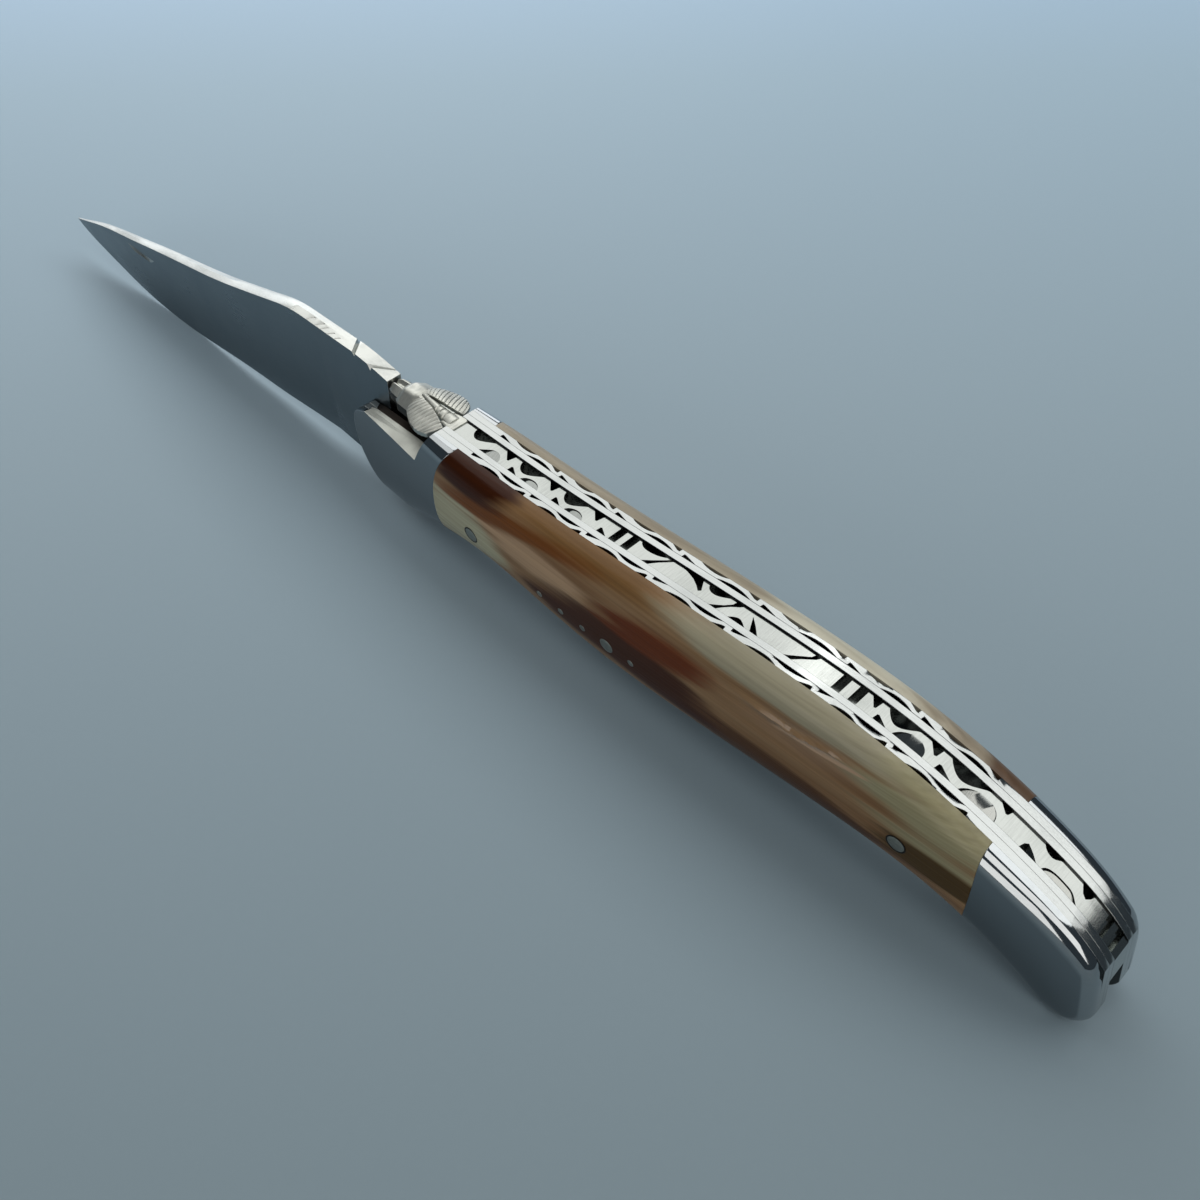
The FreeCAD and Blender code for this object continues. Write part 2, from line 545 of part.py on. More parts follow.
def spring_outline():
    """Side outline of the back spring, with its nose, lug and tail."""
    under = size("tang_flat") + size("seat_gap")
    front = -size("nose_reach")
    rear = front + size("nose_length")
    lug = front + size("lug_length")
    back = back_points(-size("spring_drop"), 2)
    head, foot = on_handle(*BUTT_HEAD_SHARES), on_handle(*BUTT_FOOT_SHARES)
    belly = [head + (foot - head) * TAIL_END_SHARE] + [on_handle(x, up) for x, up in reversed(UNDERSIDE_SHARES)]
    brow = [flat(front, NOSE_TOP_SHARE * DEPTH), flat(rear, NOSE_TOP_SHARE * DEPTH)]
    brow.append(FreeCAD.Vector(brow[-1].x, back[0].y, 0))
    nose = [belly[-1], round_pivot(rear, under), round_pivot(lug, under), round_pivot(lug, under - size("lug_depth")),
            round_pivot(front, under - size("lug_depth")), brow[0]]
    back[-1] = head - (head - foot).normalize() * size("spring_drop")
    return chain(brow + [back[0]]) + [spline(back)] + chain([back[-1], belly[0]]) + [spline(belly)] + chain(nose)


def make_spring():
    """Back spring with its filed vine and leaves."""
    blank = body_plate("back_spring_blank", spring_outline(), "sizes.spring_width", "-sizes.spring_width / 2")
    runs = []
    for rows, begin, end in SPRING_RUN_SHARES:
        runs += filed_run(rows, on_handle(begin, 0).x, on_handle(end, 0).x, -SLOT, SLOT)
    deep = [solid for kind, solid in runs if kind not in ("hollow", "groove")]
    hollows = [solid for kind, solid in runs if kind == "hollow"]
    grooves = [solid for kind, solid in runs if kind == "groove"]
    drop = size("spring_drop")
    lead = HALF - SLOT + 2 * SLOT * HOLLOW_START_SHARE
    across = ("sizes.handle_thickness", "-sizes.handle_thickness / 2")
    filed = [filing("spring_filing", deep, drop + size("filing_depth"), *across),
             filing("spring_hollows", hollows, drop - HOLLOW_FALL_SHARE * lead, *across, HOLLOW_FALL_SHARE),
             filing("spring_grooves", grooves, drop + size("groove_floor"), *across)]
    pieces.append(cut("back_spring", blank, [spring_hole, tail_hole] + filed))


def kick(along, away):
    """Sketch point on the tang's closed seat, turned back by the fold angle."""
    turn = math.radians(90 - size("fold_angle"))
    return round_pivot(away * math.cos(turn) - along * math.sin(turn),
                       away * math.sin(turn) + along * math.cos(turn))


def tang_outline():
    """Side outline of the heel and tang: open seat, rounded corner and closed seat for the spring."""
    seat = size("tang_flat")
    lobe = size("tang_lobe")
    floor = seat - size("lug_depth")
    shoulder = -size("nose_reach") - size("shoulder_gap")
    relief = size("nose_reach") - size("lug_length") - size("shoulder_gap")

    def lobe_reach(away):
        return math.sqrt(lobe ** 2 - away ** 2)

    spine = [flat(shoulder, SHOULDER_SHARE * TALL)] + [on_blade(x, up) for x, up in HEEL_SHARES]
    closed_seat = [kick(-size("kick_length"), seat), kick(relief, seat), kick(relief, floor),
                   kick(lobe_reach(floor), floor)]
    open_seat = [round_pivot(lobe_reach(seat), seat), round_pivot(-relief, seat), round_pivot(-relief, floor),
                 round_pivot(shoulder, floor), spine[0]]
    return [spline(spine)] + chain([spine[-1]] + closed_seat) + [
        Part.Arc(closed_seat[-1], round_pivot(lobe, 0), open_seat[0])] + chain(open_seat)


def blade_wires():
    """Sections of the ground blade from the plunge line to the tip."""
    wires = []
    edge = size("edge_thickness") / 2
    for along, up, down, thick in BLADE_SHARES:
        ridge = on_blade(along, up)
        low = on_blade(along, -down)
        side = ridge + (low - ridge).normalize() * (size("spine_roof") * thick)
        flank = size("blade_thickness") / 2 * thick
        points = [solid_point(ridge, 0), solid_point(side, flank), solid_point(low, edge), solid_point(low, -edge),
                  solid_point(side, -flank)]
        wires.append(Part.makePolygon(points + points[:1]))
    return wires


def heel_wire():
    """Section of full thickness at the front of the tang."""
    flank = size("blade_thickness") / 2
    ridge = on_blade(*HEEL_SHARES[-1])
    low = kick(-size("kick_length"), size("tang_flat"))
    points = [solid_point(ridge, 0), solid_point(ridge, flank), solid_point(low, flank), solid_point(low, -flank),
              solid_point(ridge, -flank)]
    return Part.makePolygon(points + points[:1])


def groove_solids():
    """Cutting solids of the grooves filed across the spine."""
    solids = []
    flank = size("blade_thickness") / 2
    for along, up, begin, end, lean, scale in GROOVE_SHARES:
        wide = size("groove_width") / 2 * scale
        deep = size("groove_depth") * scale
        top = on_blade(along, up)
        start = solid_point(top, begin * flank) - FreeCAD.Vector(lean * begin * flank, 0, 0)
        corners = [start + FreeCAD.Vector(x, 0, z) for x, z in ((-2 * wide, deep), (0, -deep), (2 * wide, deep))]
        across = (end - begin) * flank
        solids.append(Part.Face(Part.makePolygon(corners + corners[:1])).extrude(
            FreeCAD.Vector(-lean * across, across, 0)))
    return solids


def nail_wheel():
    """Leaning wheel that cuts the nail nick into the left side."""
    wheel = doc.addObject("Part::Cylinder", "nail_wheel")
    wheel.setExpression("Radius", "sizes.nail_wheel_diameter / 2")
    wheel.setExpression("Height", "sizes.nail_width")
    lean = math.radians(size("nail_lean"))
    inward = FreeCAD.Vector(0, -math.cos(lean), -math.sin(lean))
    axis = FreeCAD.Vector(0, -math.sin(lean), math.cos(lean))
    share = NAIL_SHARES[0]
    pairs = zip(BLADE_SHARES, BLADE_SHARES[1:])
    before, after = [(low, high) for low, high in pairs if low[0] <= share <= high[0]][0]
    mix = (share - before[0]) / (after[0] - before[0])
    spine, edge, thick = [low + (high - low) * mix for low, high in zip(before[1:], after[1:])]
    down = (spine - NAIL_SHARES[1]) / (spine + edge)
    skin = size("blade_thickness") / 2 * thick * (1 - down) + size("edge_thickness") / 2 * down
    rim = solid_point(on_blade(*NAIL_SHARES), skin - size("nail_depth"))
    centre = rim - inward * (size("nail_wheel_diameter") / 2) - axis * (size("nail_width") / 2)
    wheel.Placement = FreeCAD.Placement(centre, FreeCAD.Rotation(FreeCAD.Vector(1, 0, 0), size("nail_lean")))
    return wheel


def make_blade():
    """Blade: ground part, heel and tang in one."""
    tang = body_plate("tang", tang_outline(), "sizes.blade_thickness", "-sizes.blade_thickness / 2")
    sections = blade_wires()
    heel = loft("heel", [heel_wire(), sections[0]])
    heel.Ruled = True
    whole = combined("MultiFuse", "blade_blank", [tang, heel, loft("ground_blade", sections)])
    hole = through_hole("blade_hole", PIVOT, "pivot_diameter", "pivot_clearance")
    grooves = doc.addObject("Part::Feature", "spine_grooves")
    grooves.Shape = Part.makeCompound(groove_solids())
    pieces.append(cut("blade", whole, [hole, grooves, nail_wheel()]))


def on_bee(along_share, height, across):
    """Point from a share of the bee's length, a height over its seat and a distance across."""
    along = along_share * size("bee_length") - size("nose_reach")
    return solid_point(flat(along, NOSE_TOP_SHARE * DEPTH + height), across)


def bee_wires():
    """Arched sections of the bee from head to neck plate."""
    wires = []
    for along, wide, high in BEE_SECTION_SHARES:
        reach = wide * SLOT
        rise = high * size("bee_rise")
        arch = [on_bee(along, rise * up, reach * out) for out, up in ARCH_SHARES]
        wires.append(Part.Wire([spline(arch).toShape(), Part.LineSegment(arch[-1], arch[0]).toShape()]))
    return wires


def wing_shape():
    """Left wing with ribs across it."""
    low = size("wing_lift")
    tip = size("wing_span") / 2
    rim = [on_bee(x, low, out * tip) for x, out in WING_SHARES]
    root = on_bee(WING_ROOT_SHARES[0], low, WING_ROOT_SHARES[1] * tip)
    ray = on_bee(WING_TIP_SHARES[0], low, WING_TIP_SHARES[1] * tip) - root
    up = on_bee(0, size("wing_thickness"), 0) - on_bee(0, 0, 0)
    outline = Part.Wire([spline(rim).toShape()] + [edge.toShape() for edge in chain([rim[-1], root, rim[0]])])
    wing = Part.Face(outline).extrude(up)
    across = ray.cross(up).normalize() * size("wing_span")
    wide = FreeCAD.Vector(ray).normalize() * (size("rib_width") / 2)
    for share in RIB_SHARES:
        floor = root + ray * share + up * (1 - size("rib_depth") / size("wing_thickness"))
        corners = [floor - across - wide, floor + across - wide, floor + across + wide, floor - across + wide]
        wing = wing.cut(Part.Face(Part.makePolygon(corners + corners[:1])).extrude(up))
    return wing


def make_bee():
    """Bee on the spring's nose."""
    body = loft("bee_body", bee_wires())
    wing = doc.addObject("Part::Feature", "bee_wing_left")
    wing.Shape = wing_shape()
    pieces.append(combined("MultiFuse", "bee", [body, wing, mirrored("bee_wing_right", wing)]))


make_liners()
make_sides()
make_pins()
make_spring()
make_blade()
make_bee()
doc.recompute()
faulty = ["%s: %s" % (held.Name, held.getStatusString()) for held in doc.Objects if "Invalid" in held.State]
if faulty:
    raise RuntimeError("not worked out: " + "; ".join(faulty))
os.makedirs("parts", exist_ok=True)
for piece in pieces:
    shape = piece.Shape
    if "Up-to-date" not in piece.State or shape.isNull() or not shape.isValid() or not shape.Solids:
        raise RuntimeError("%s is not a sound solid: %s" % (piece.Label, piece.State))
    shape.exportStep("parts/%s.step" % piece.Label)
    box = shape.optimalBoundingBox(True, False)
    print("%-20s %9.1f  x %7.2f %7.2f  y %6.2f %6.2f  z %6.2f %6.2f" % (
        piece.Label, shape.Volume, box.XMin, box.XMax, box.YMin, box.YMax, box.ZMin, box.ZMax))
print("pivot", PIVOT)
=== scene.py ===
"""Dresses the folding pocket knife: steel and horn finishes, the bee on the spring, and a plain studio."""
from __future__ import annotations

import logging
import math
from dataclasses import dataclass
from enum import Enum
from typing import Any, Callable, Sequence

import bmesh
import bpy
import numpy as np
from bmesh.types import BMEdge, BMesh, BMVert
from bpy.types import Material, Node, NodeSocket, Object
from mathutils import Matrix, Vector

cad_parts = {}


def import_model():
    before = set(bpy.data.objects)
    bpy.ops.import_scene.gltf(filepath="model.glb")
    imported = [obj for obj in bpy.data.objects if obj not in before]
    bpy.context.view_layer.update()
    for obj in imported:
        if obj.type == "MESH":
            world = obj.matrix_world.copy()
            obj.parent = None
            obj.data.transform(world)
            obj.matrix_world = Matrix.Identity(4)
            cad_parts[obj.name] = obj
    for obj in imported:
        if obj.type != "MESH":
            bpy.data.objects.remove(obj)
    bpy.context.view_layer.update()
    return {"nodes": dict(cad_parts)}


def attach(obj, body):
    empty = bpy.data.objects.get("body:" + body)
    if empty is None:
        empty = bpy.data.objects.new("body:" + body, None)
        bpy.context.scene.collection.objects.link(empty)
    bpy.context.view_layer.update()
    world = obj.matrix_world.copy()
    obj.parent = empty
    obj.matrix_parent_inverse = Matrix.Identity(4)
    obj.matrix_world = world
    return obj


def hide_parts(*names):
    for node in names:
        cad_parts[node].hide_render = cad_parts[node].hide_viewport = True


LOG = logging.getLogger("knife")
MM = 0.001
# The handle's axis starts over the pivot and leans so that the knife rests on its edge and butt
HANDLE_FRAME = (Matrix.Translation((-3.8 * MM, 0.0, 11.57 * MM)) @ Matrix.Rotation(math.radians(1.07), 4, "Y")
                @ Matrix.Scale(MM, 4))
# Points of a new piece nearer than the first are one; the second is for points of solids and points near a plane
JOIN_MM = 0.0004
PLANE_MM = 0.0005
# Points of a unit grid beyond this lie on its rim
GRID_RIM = 0.499
Pair = tuple[float, float]
Pairs = tuple[Pair, ...]
Triple = tuple[float, float, float]
# Place of a point from its shares along and across
Shape = Callable[[float, float], Vector]
# Line of a joint or an end: heights over the handle's axis, rising, and distances behind the pivot
Border = tuple[np.ndarray, np.ndarray]


def linear(code: str) -> tuple[float, float, float, float]:
    """Turn an sRGB hex colour into linear values.

    Args:
        code: Six hex digits.

    Returns:
        Linear red, green, blue and an alpha of one.
    """
    parts = [int(code[place:place + 2], 16) / 255 for place in (0, 2, 4)]
    red, green, blue = [part / 12.92 if part <= 0.04045 else ((part + 0.055) / 1.055) ** 2.4 for part in parts]
    return red, green, blue, 1.0


class Recipe:
    """Nodes of one material.

    Attributes:
        material: The material.
        place: Its object coordinates.
    """

    def __init__(self, name: str) -> None:
        """Start a material.

        Args:
            name: What the real material is.
        """
        self.material = bpy.data.materials.new(name)
        self.material.use_nodes = True
        self.place = self.add("TexCoord").outputs["Object"]

    def add(self, kind: str, settings: dict[str, Any] | None = None, **inputs: Any) -> Node:
        """Add a node with its settings and links.

        Args:
            kind: Kind of shader node.
            settings: Properties of the node itself.
            inputs: Values for its sockets, as in fill.

        Returns:
            The new node.
        """
        node = self.material.node_tree.nodes.new("ShaderNode" + kind)
        for key, value in (settings or {}).items():
            setattr(node, key, value)
        self.fill(node, inputs)
        return node

    def fill(self, node: Node, inputs: dict[str, Any]) -> None:
        """Set or link the sockets of a node.

        Args:
            node: The node.
            inputs: Values by name, with _ for a blank, or by number after a _; an output socket is linked.
        """
        for key, value in inputs.items():
            socket = node.inputs[int(key[1:]) if key[1:].isdigit() else key.replace("_", " ")]
            if isinstance(value, NodeSocket):
                self.material.node_tree.links.new(value, socket)
            else:
                socket.default_value = value

    def finish(self, **inputs: Any) -> Material:
        """Set the surface itself and hand back the material."""
        self.fill(self.material.node_tree.nodes["Principled BSDF"], inputs)
        return self.material

    def math(self, operation: str, *values: Any, clamp: bool = False) -> NodeSocket:
        """Reckon with a few numbers or sockets."""
        inputs = {"_%d" % place: value for place, value in enumerate(values)}
        return self.add("Math", {"operation": operation, "use_clamp": clamp}, **inputs).outputs[0]

    def noise(self, place: NodeSocket, size_mm: Sequence[float], detail: float) -> NodeSocket:
        """Add noise in cells of a given length, depth and height."""
        cells = self.add("Mapping", Vector=place, Scale=[1 / (size * MM) for size in size_mm]).outputs["Vector"]
        return self.add("TexNoise", Vector=cells, Scale=1.0, Detail=detail).outputs["Fac"]

    def spread(self, value: NodeSocket, start: Sequence[float], end: Sequence[float] = (0.0, 1.0),
               course: str = "LINEAR") -> NodeSocket:
        """Spread one range of a value over another."""
        return self.add("MapRange", {"interpolation_type": course}, Value=value, From_Min=start[0], From_Max=start[1],
                        To_Min=end[0], To_Max=end[1]).outputs["Result"]

    def mix(self, share: NodeSocket | float, under: Any, over: Any, blend: str = "MIX") -> NodeSocket:
        """Lay a share of one colour over another."""
        return self.add("Mix", {"data_type": "RGBA", "blend_type": blend}, _0=share, _6=under, _7=over).outputs[2]

    def ramp(self, value: NodeSocket, *stops: tuple[float, str]) -> NodeSocket:
        """Turn a value into colours.

        Args:
            value: What is shown.
            stops: Places and sRGB hex colours.

        Returns:
            The colour.
        """
        node = self.add("ValToRGB", Fac=value)
        band = node.color_ramp.elements
        while len(band) < len(stops):
            band.new(0.5)
        for element, (place, code) in zip(band, stops):
            element.position = place
            element.color = linear(code)
        return node.outputs["Color"]


class Polish(Enum):
    """How far a steel surface was taken on the wheel: roughness and depth of its marks."""

    MIRROR = (0.07, 0.02)
    BRIGHT = (0.17, 0.05)
    SATIN = (0.33, 0.10)
    FILED = (0.44, 0.16)


class Hand(Enum):
    """Side of the knife; left is +Y in the frame."""

    LEFT = 1.0
    RIGHT = -1.0

    @property
    def tag(self) -> str:
        """Ending of this side's names."""
        return self.name.lower()

    def turn(self, sheet: BMesh) -> None:
        """Bring a shape made for the left to this side."""
        bmesh.ops.scale(sheet, vec=(1.0, self.value, 1.0), verts=sheet.verts)


@dataclass(frozen=True)
class Steel:
    """Steel with the marks of its last grit.

    Attributes:
        name: What the steel is.
        colour: sRGB hex of a clean face.
        stain: sRGB hex where the face has dulled.
        polish: How far it was polished.
        marks_mm: Length, width and height of one grinding mark.
        cloud_mm: Size of the dull clouds.
        flank: sRGB hex painted on faces that look sideways, as shade.
        sideways: How far sideways a face looks where that colour begins and where it is full.
        marks_share: How much the marks count beside the clouds.
        tones: Where the dulled colour ends and the clean one begins.
        grades: Where the dulled roughness ends and the clean one begins.
        grade_shares: Dulled and clean roughness in shares of the polish's.
        bump_mm: Depth of the deepest marks.
    """

    name: str
    colour: str
    stain: str
    polish: Polish
    marks_mm: Triple
    cloud_mm: float = 9.0
    flank: str | None = None
    sideways: Pair = (0.93, 0.97)
    marks_share: float = 0.45
    tones: Pair = (0.50, 0.78)
    grades: Pair = (0.45, 0.95)
    grade_shares: Pair = (1.25, 0.8)
    bump_mm: float = 0.05

    def build(self) -> Material:
        """Make the material: fine marks in the bump, soft clouds in colour and roughness.

        Returns:
            The material.
        """
        recipe = Recipe(self.name)
        rough, depth = self.polish.value
        marks = recipe.noise(recipe.place, self.marks_mm, 3.0)
        clouds = recipe.noise(recipe.place, (self.cloud_mm,) * 3, 4.0)
        mixed = recipe.math("MULTIPLY_ADD", marks, self.marks_share, clouds)
        tone = recipe.ramp(mixed, (self.tones[0], self.stain), (self.tones[1], self.colour))
        # Faces that look sideways are painted in the flank colour: painted shade
        if self.flank:
            facing = recipe.add("NewGeometry").outputs["Normal"]
            across = recipe.math("ABSOLUTE", recipe.add("SeparateXYZ", Vector=facing).outputs["Y"])
            tone = recipe.mix(recipe.spread(across, self.sideways), tone, linear(self.flank))
        dull = recipe.spread(mixed, self.grades, [rough * share for share in self.grade_shares])
        bump = recipe.add("Bump", Height=marks, Strength=depth, Distance=self.bump_mm * MM).outputs["Normal"]
        return recipe.finish(Base_Color=tone, Roughness=dull, Normal=bump, Metallic=1.0)


@dataclass(frozen=True)
class Patch:
    """Soft stretch of one colour in the horn.

    Attributes:
        colour: sRGB hex.
        centre_mm: Middle, along and up.
        reach_mm: Half length and half height.
        lean: Degrees that it leans up towards the butt.
        weight: How much of it shows.
    """

    colour: str
    centre_mm: Pair
    reach_mm: Pair
    lean: float = 0.0
    weight: float = 1.0

    def bowl(self, recipe: Recipe, place: NodeSocket) -> NodeSocket:
        """Find the share of the patch: one in its middle, falling to nothing at its reach.

        Args:
            recipe: Nodes of the horn.
            place: Coordinates.

        Returns:
            The share.
        """
        centre = Vector((self.centre_mm[0], 0.0, self.centre_mm[1])) * MM
        moved = recipe.add("VectorMath", {"operation": "SUBTRACT"}, _0=place, _1=centre).outputs[0]
        turned = recipe.add("Mapping", Vector=moved, Rotation=(0.0, math.radians(self.lean), 0.0)).outputs["Vector"]
        size = [1 / (reach * MM) for reach in self.reach_mm]
        sized = recipe.add("Mapping", Vector=turned, Scale=(size[0], 0.0, size[1])).outputs["Vector"]
        return recipe.add("TexGradient", {"gradient_type": "SPHERICAL"}, Vector=sized).outputs["Fac"]


@dataclass(frozen=True)
class Horn:
    """Polished cattle horn, streaked along its growth.

    Attributes:
        name: Which slab it is.
        ground: sRGB hex of the translucent ground colour.
        deep: sRGB hex of its darker fibres.
        patches: Stretches of other colours.
        buffed: Stretch that caught more of the polish.
        streak_mm: Length, depth and height of one streak.
        sway_mm: The same of the slow bends in the patches' edges.
        fibre_mm: The same of one fibre.
        fray: How much streaks and bends count in a patch's edge.
        edge: Where a patch begins and where it is full.
        limit: How steeply it ends at its reach.
        grain: How much the fibres darken the colours.
        coat: Weight of the clear polish, plain and buffed.
    """

    name: str
    ground: str
    deep: str
    patches: tuple[Patch, ...]
    buffed: Patch | None = None
    streak_mm: Triple = (46.0, 9.0, 2.6)
    sway_mm: Triple = (30.0, 30.0, 11.0)
    # Real fibres are about 0.05 mm high, too fine for the picture, so they are drawn coarser
    fibre_mm: Triple = (22.0, 1.2, 0.32)
    fray: Pair = (1.7, 0.8)
    edge: Pair = (1.25, 1.70)
    limit: float = 6.0
    grain: float = 0.55
    coat: Pair = (0.07, 1.6)

    def build(self) -> Material:
        """Make the material: streaked patches under a clear polish, with fine fibres in the bump.

        Returns:
            The material.
        """
        recipe = Recipe(self.name)
        # The streaks' depth is counted from the left side to the right
        place = recipe.add("Mapping", Vector=recipe.place, Scale=(1.0, -1.0, 1.0)).outputs["Vector"]
        streaks = recipe.noise(place, self.streak_mm, 5.0)
        sway = recipe.noise(place, self.sway_mm, 2.0)
        fibres = recipe.noise(place, self.fibre_mm, 3.0)
        colour = recipe.ramp(streaks, (0.34, self.deep), (0.62, self.ground))
        for patch in self.patches:
            bowl = patch.bowl(recipe, place)
            frayed = recipe.math("MULTIPLY_ADD", streaks, self.fray[0], bowl)
            bent = recipe.math("MULTIPLY_ADD", sway, self.fray[1], frayed)
            share = recipe.spread(bent, self.edge, (0.0, patch.weight), "SMOOTHSTEP")
            held = recipe.math("MULTIPLY", share, recipe.math("MULTIPLY", bowl, self.limit, clamp=True))
            colour = recipe.mix(held, colour, linear(patch.colour))
        grain = recipe.ramp(fibres, (0.25, "b4b0ac"), (0.75, "ffffff"))
        shown = recipe.mix(self.grain, colour, grain, "MULTIPLY")
        height = recipe.math("MULTIPLY", fibres, 0.05)
        bump = recipe.add("Bump", Height=height, Strength=1.0, Distance=0.6 * MM).outputs["Normal"]
        gloss = recipe.spread(self.buffed.bowl(recipe, place), (0.0, 1.0), self.coat) if self.buffed else self.coat[0]
        return recipe.finish(Base_Color=shown, Normal=bump, Coat_Normal=bump, Roughness=0.30, Specular_IOR_Level=0.10,
                             IOR=1.55, Coat_Weight=gloss, Coat_Roughness=0.06)


@dataclass(frozen=True)
class Course:
    """Smooth course through a few points, evenly eased between them.

    Attributes:
        points: Places along and beside the course.
        steps: Short straight stretches that it is drawn in.
    """

    points: Pairs
    steps: int = 240

    def drawn(self) -> tuple[np.ndarray, np.ndarray]:
        """Draw the course as a natural cubic spline over its chord length.

        Returns:
            Both coordinates of the drawn points.
        """
        spots = np.array(self.points, dtype=float)
        chords = np.hypot(*np.diff(spots, axis=0).T)
        knots = np.concatenate(([0.0], np.cumsum(chords)))
        count = len(knots)
        system = np.eye(count)
        right = np.zeros_like(spots)
        for row in range(1, count - 1):
            before, after = chords[row - 1], chords[row]
            system[row, row - 1:row + 2] = before, 2 * (before + after), after
            right[row] = 6 * ((spots[row + 1] - spots[row]) / after - (spots[row] - spots[row - 1]) / before)
        bends = np.linalg.solve(system, right)
        places = np.linspace(0.0, knots[-1], self.steps)
        cells = np.clip(np.searchsorted(knots, places, side="right") - 1, 0, count - 2)
        width = chords[cells][:, None]
        ahead = (knots[cells + 1] - places)[:, None]
        gone = (places - knots[cells])[:, None]
        curve = ((bends[cells] * ahead ** 3 + bends[cells + 1] * gone ** 3) / (6 * width)
                 + (spots[cells] / width - bends[cells] * width / 6) * ahead
                 + (spots[cells + 1] / width - bends[cells + 1] * width / 6) * gone)
        return curve[:, 0], curve[:, 1]


@dataclass
class HandleForm:
    """Outside form of the handle, in millimetres behind the pivot and above the handle's axis.

    Attributes:
        length: Front of the bolsters to the butt.
        depth: Measure of the side outline.
        half: Half the thickness across the scales.
        face: Outer face of the liners from the middle.
        setback: Front of the bolsters to the pivot.
        stations: Shares of length, then of depth at back and belly, and of half the thickness.
        section: Rounding of the side: shares outwards and down.
        nose: Front of the bolsters, shares ahead of the pivot and of depth.
        butt_head: Upper corner of the butt, shares of length and depth.
        butt_foot: Lower end of its flat.
        front_joint: Joint behind the front bolsters.
        rear_joint: Joint before the rear bolsters.
        butt_corner: Middle of the butt's rounded corner, shares of its box.
    """

    length: float = 121.0
    depth: float = 20.0
    half: float = 6.6
    face: float = 3.26
    setback: float = 11.0
    stations: tuple[tuple[float, float, float, float], ...] = (
        (0.000, 0.486, 0.430, 0.585), (0.090, 0.482, 0.455, 0.745), (0.174, 0.478, 0.325, 0.900),
        (0.240, 0.472, 0.268, 0.960), (0.330, 0.476, 0.310, 0.985), (0.430, 0.502, 0.358, 1.000),
        (0.545, 0.540, 0.320, 1.000), (0.650, 0.560, 0.252, 0.985), (0.750, 0.540, 0.194, 0.960),
        (0.830, 0.462, 0.192, 0.930), (0.900, 0.345, 0.290, 0.890), (0.960, 0.190, 0.477, 0.820),
        (1.010, 0.032, 0.505, 0.750))
    section: Pairs = (
        (0.0, 0.0), (0.36, 0.012), (0.68, 0.060), (0.90, 0.160), (1.00, 0.360), (0.985, 0.560), (0.90, 0.760),
        (0.66, 0.920), (0.34, 0.988), (0.0, 1.0))
    nose: Pairs = (
        (0.60, -0.425), (0.88, -0.250), (1.00, -0.020), (0.90, 0.170), (0.62, 0.245), (0.30, 0.480))
    butt_head: Pair = (0.9880, 0.065)
    butt_foot: Pair = (1.0000, -0.300)
    front_joint: Pairs = ((0.2060, 0.560), (0.1670, -0.080), (0.1880, -0.560))
    rear_joint: Pairs = ((0.8620, 0.560), (0.8730, 0.100), (0.8660, -0.560))
    butt_corner: Pair = (0.26, 0.68)

    def __post_init__(self) -> None:
        """Draw the courses once."""
        head = (self.along(self.butt_head[0]), self.butt_head[1] * self.depth)
        inner = self.stations[1:-1]
        self.back = Course(tuple((self.along(row[0]), row[1] * self.depth) for row in inner) + (head,)).drawn()
        self.belly = Course(tuple((self.along(row[0]), -row[2] * self.depth) for row in inner)).drawn()
        self.flank = Course(tuple((self.along(row[0]), row[3] * self.half) for row in self.stations)).drawn()
        self.round = Course(self.section).drawn()

    def along(self, share: float) -> float:
        """Distance behind the pivot of a share of the length."""
        return share * self.length - self.setback

    def spot(self, x: float, turn: float) -> Pair:
        """Find a point of the rounded side.

        Args:
            x: Distance behind the pivot.
            turn: Way round the side, 0 at the back and 1 at the belly.

        Returns:
            Distance from the middle and height over the axis.
        """
        place = turn * (len(self.round[0]) - 1)
        order = np.arange(len(self.round[0]))
        out = float(np.interp(place, order, self.round[0]))
        down = float(np.interp(place, order, self.round[1]))
        top = float(np.interp(x, *self.back))
        low = float(np.interp(x, *self.belly))
        return self.face + (float(np.interp(x, *self.flank)) - self.face) * out, top + (low - top) * down

    def outward(self, x: float, turn: float) -> Vector:
        """Find which way the side faces at a point.

        Args:
            x: Distance behind the pivot.
            turn: Way round the side.

        Returns:
            Unit vector across the handle.
        """
        before, after = self.spot(x, max(turn - 0.01, 0.0)), self.spot(x, min(turn + 0.01, 1.0))
        return Vector((0.0, before[1] - after[1], after[0] - before[0])).normalized()

    def turn_at(self, x: float, z: float) -> float:
        """Find the way round the side at a height.

        Args:
            x: Distance behind the pivot.
            z: Height over the axis.

        Returns:
            Way round, 0 at the back and 1 at the belly.
        """
        turns = np.linspace(0.0, 1.0, 200)
        heights = np.array([self.spot(x, turn)[1] for turn in turns])
        return float(np.interp(-z, -heights, turns))

    def arc(self, shares: Pairs) -> Border:
        """Draw a joint's arc through three points.

        Args:
            shares: Shares of length and depth.

        Returns:
            The arc.
        """
        (ax, ay), (bx, by), (cx, cy) = [(self.along(x), z * self.depth) for x, z in shares]
        turn = 2 * (ax * (by - cy) + bx * (cy - ay) + cx * (ay - by))
        aa, bb, cc = ax ** 2 + ay ** 2, bx ** 2 + by ** 2, cx ** 2 + cy ** 2
        mx = (aa * (by - cy) + bb * (cy - ay) + cc * (ay - by)) / turn
        my = (aa * (cx - bx) + bb * (ax - cx) + cc * (bx - ax)) / turn
        reach = math.hypot(ax - mx, ay - my)
        heights = np.linspace(min(ay, cy), max(ay, cy), 160)
        side = 1.0 if bx > mx else -1.0
        return heights, mx + side * np.sqrt(np.maximum(reach ** 2 - (heights - my) ** 2, 0.0))

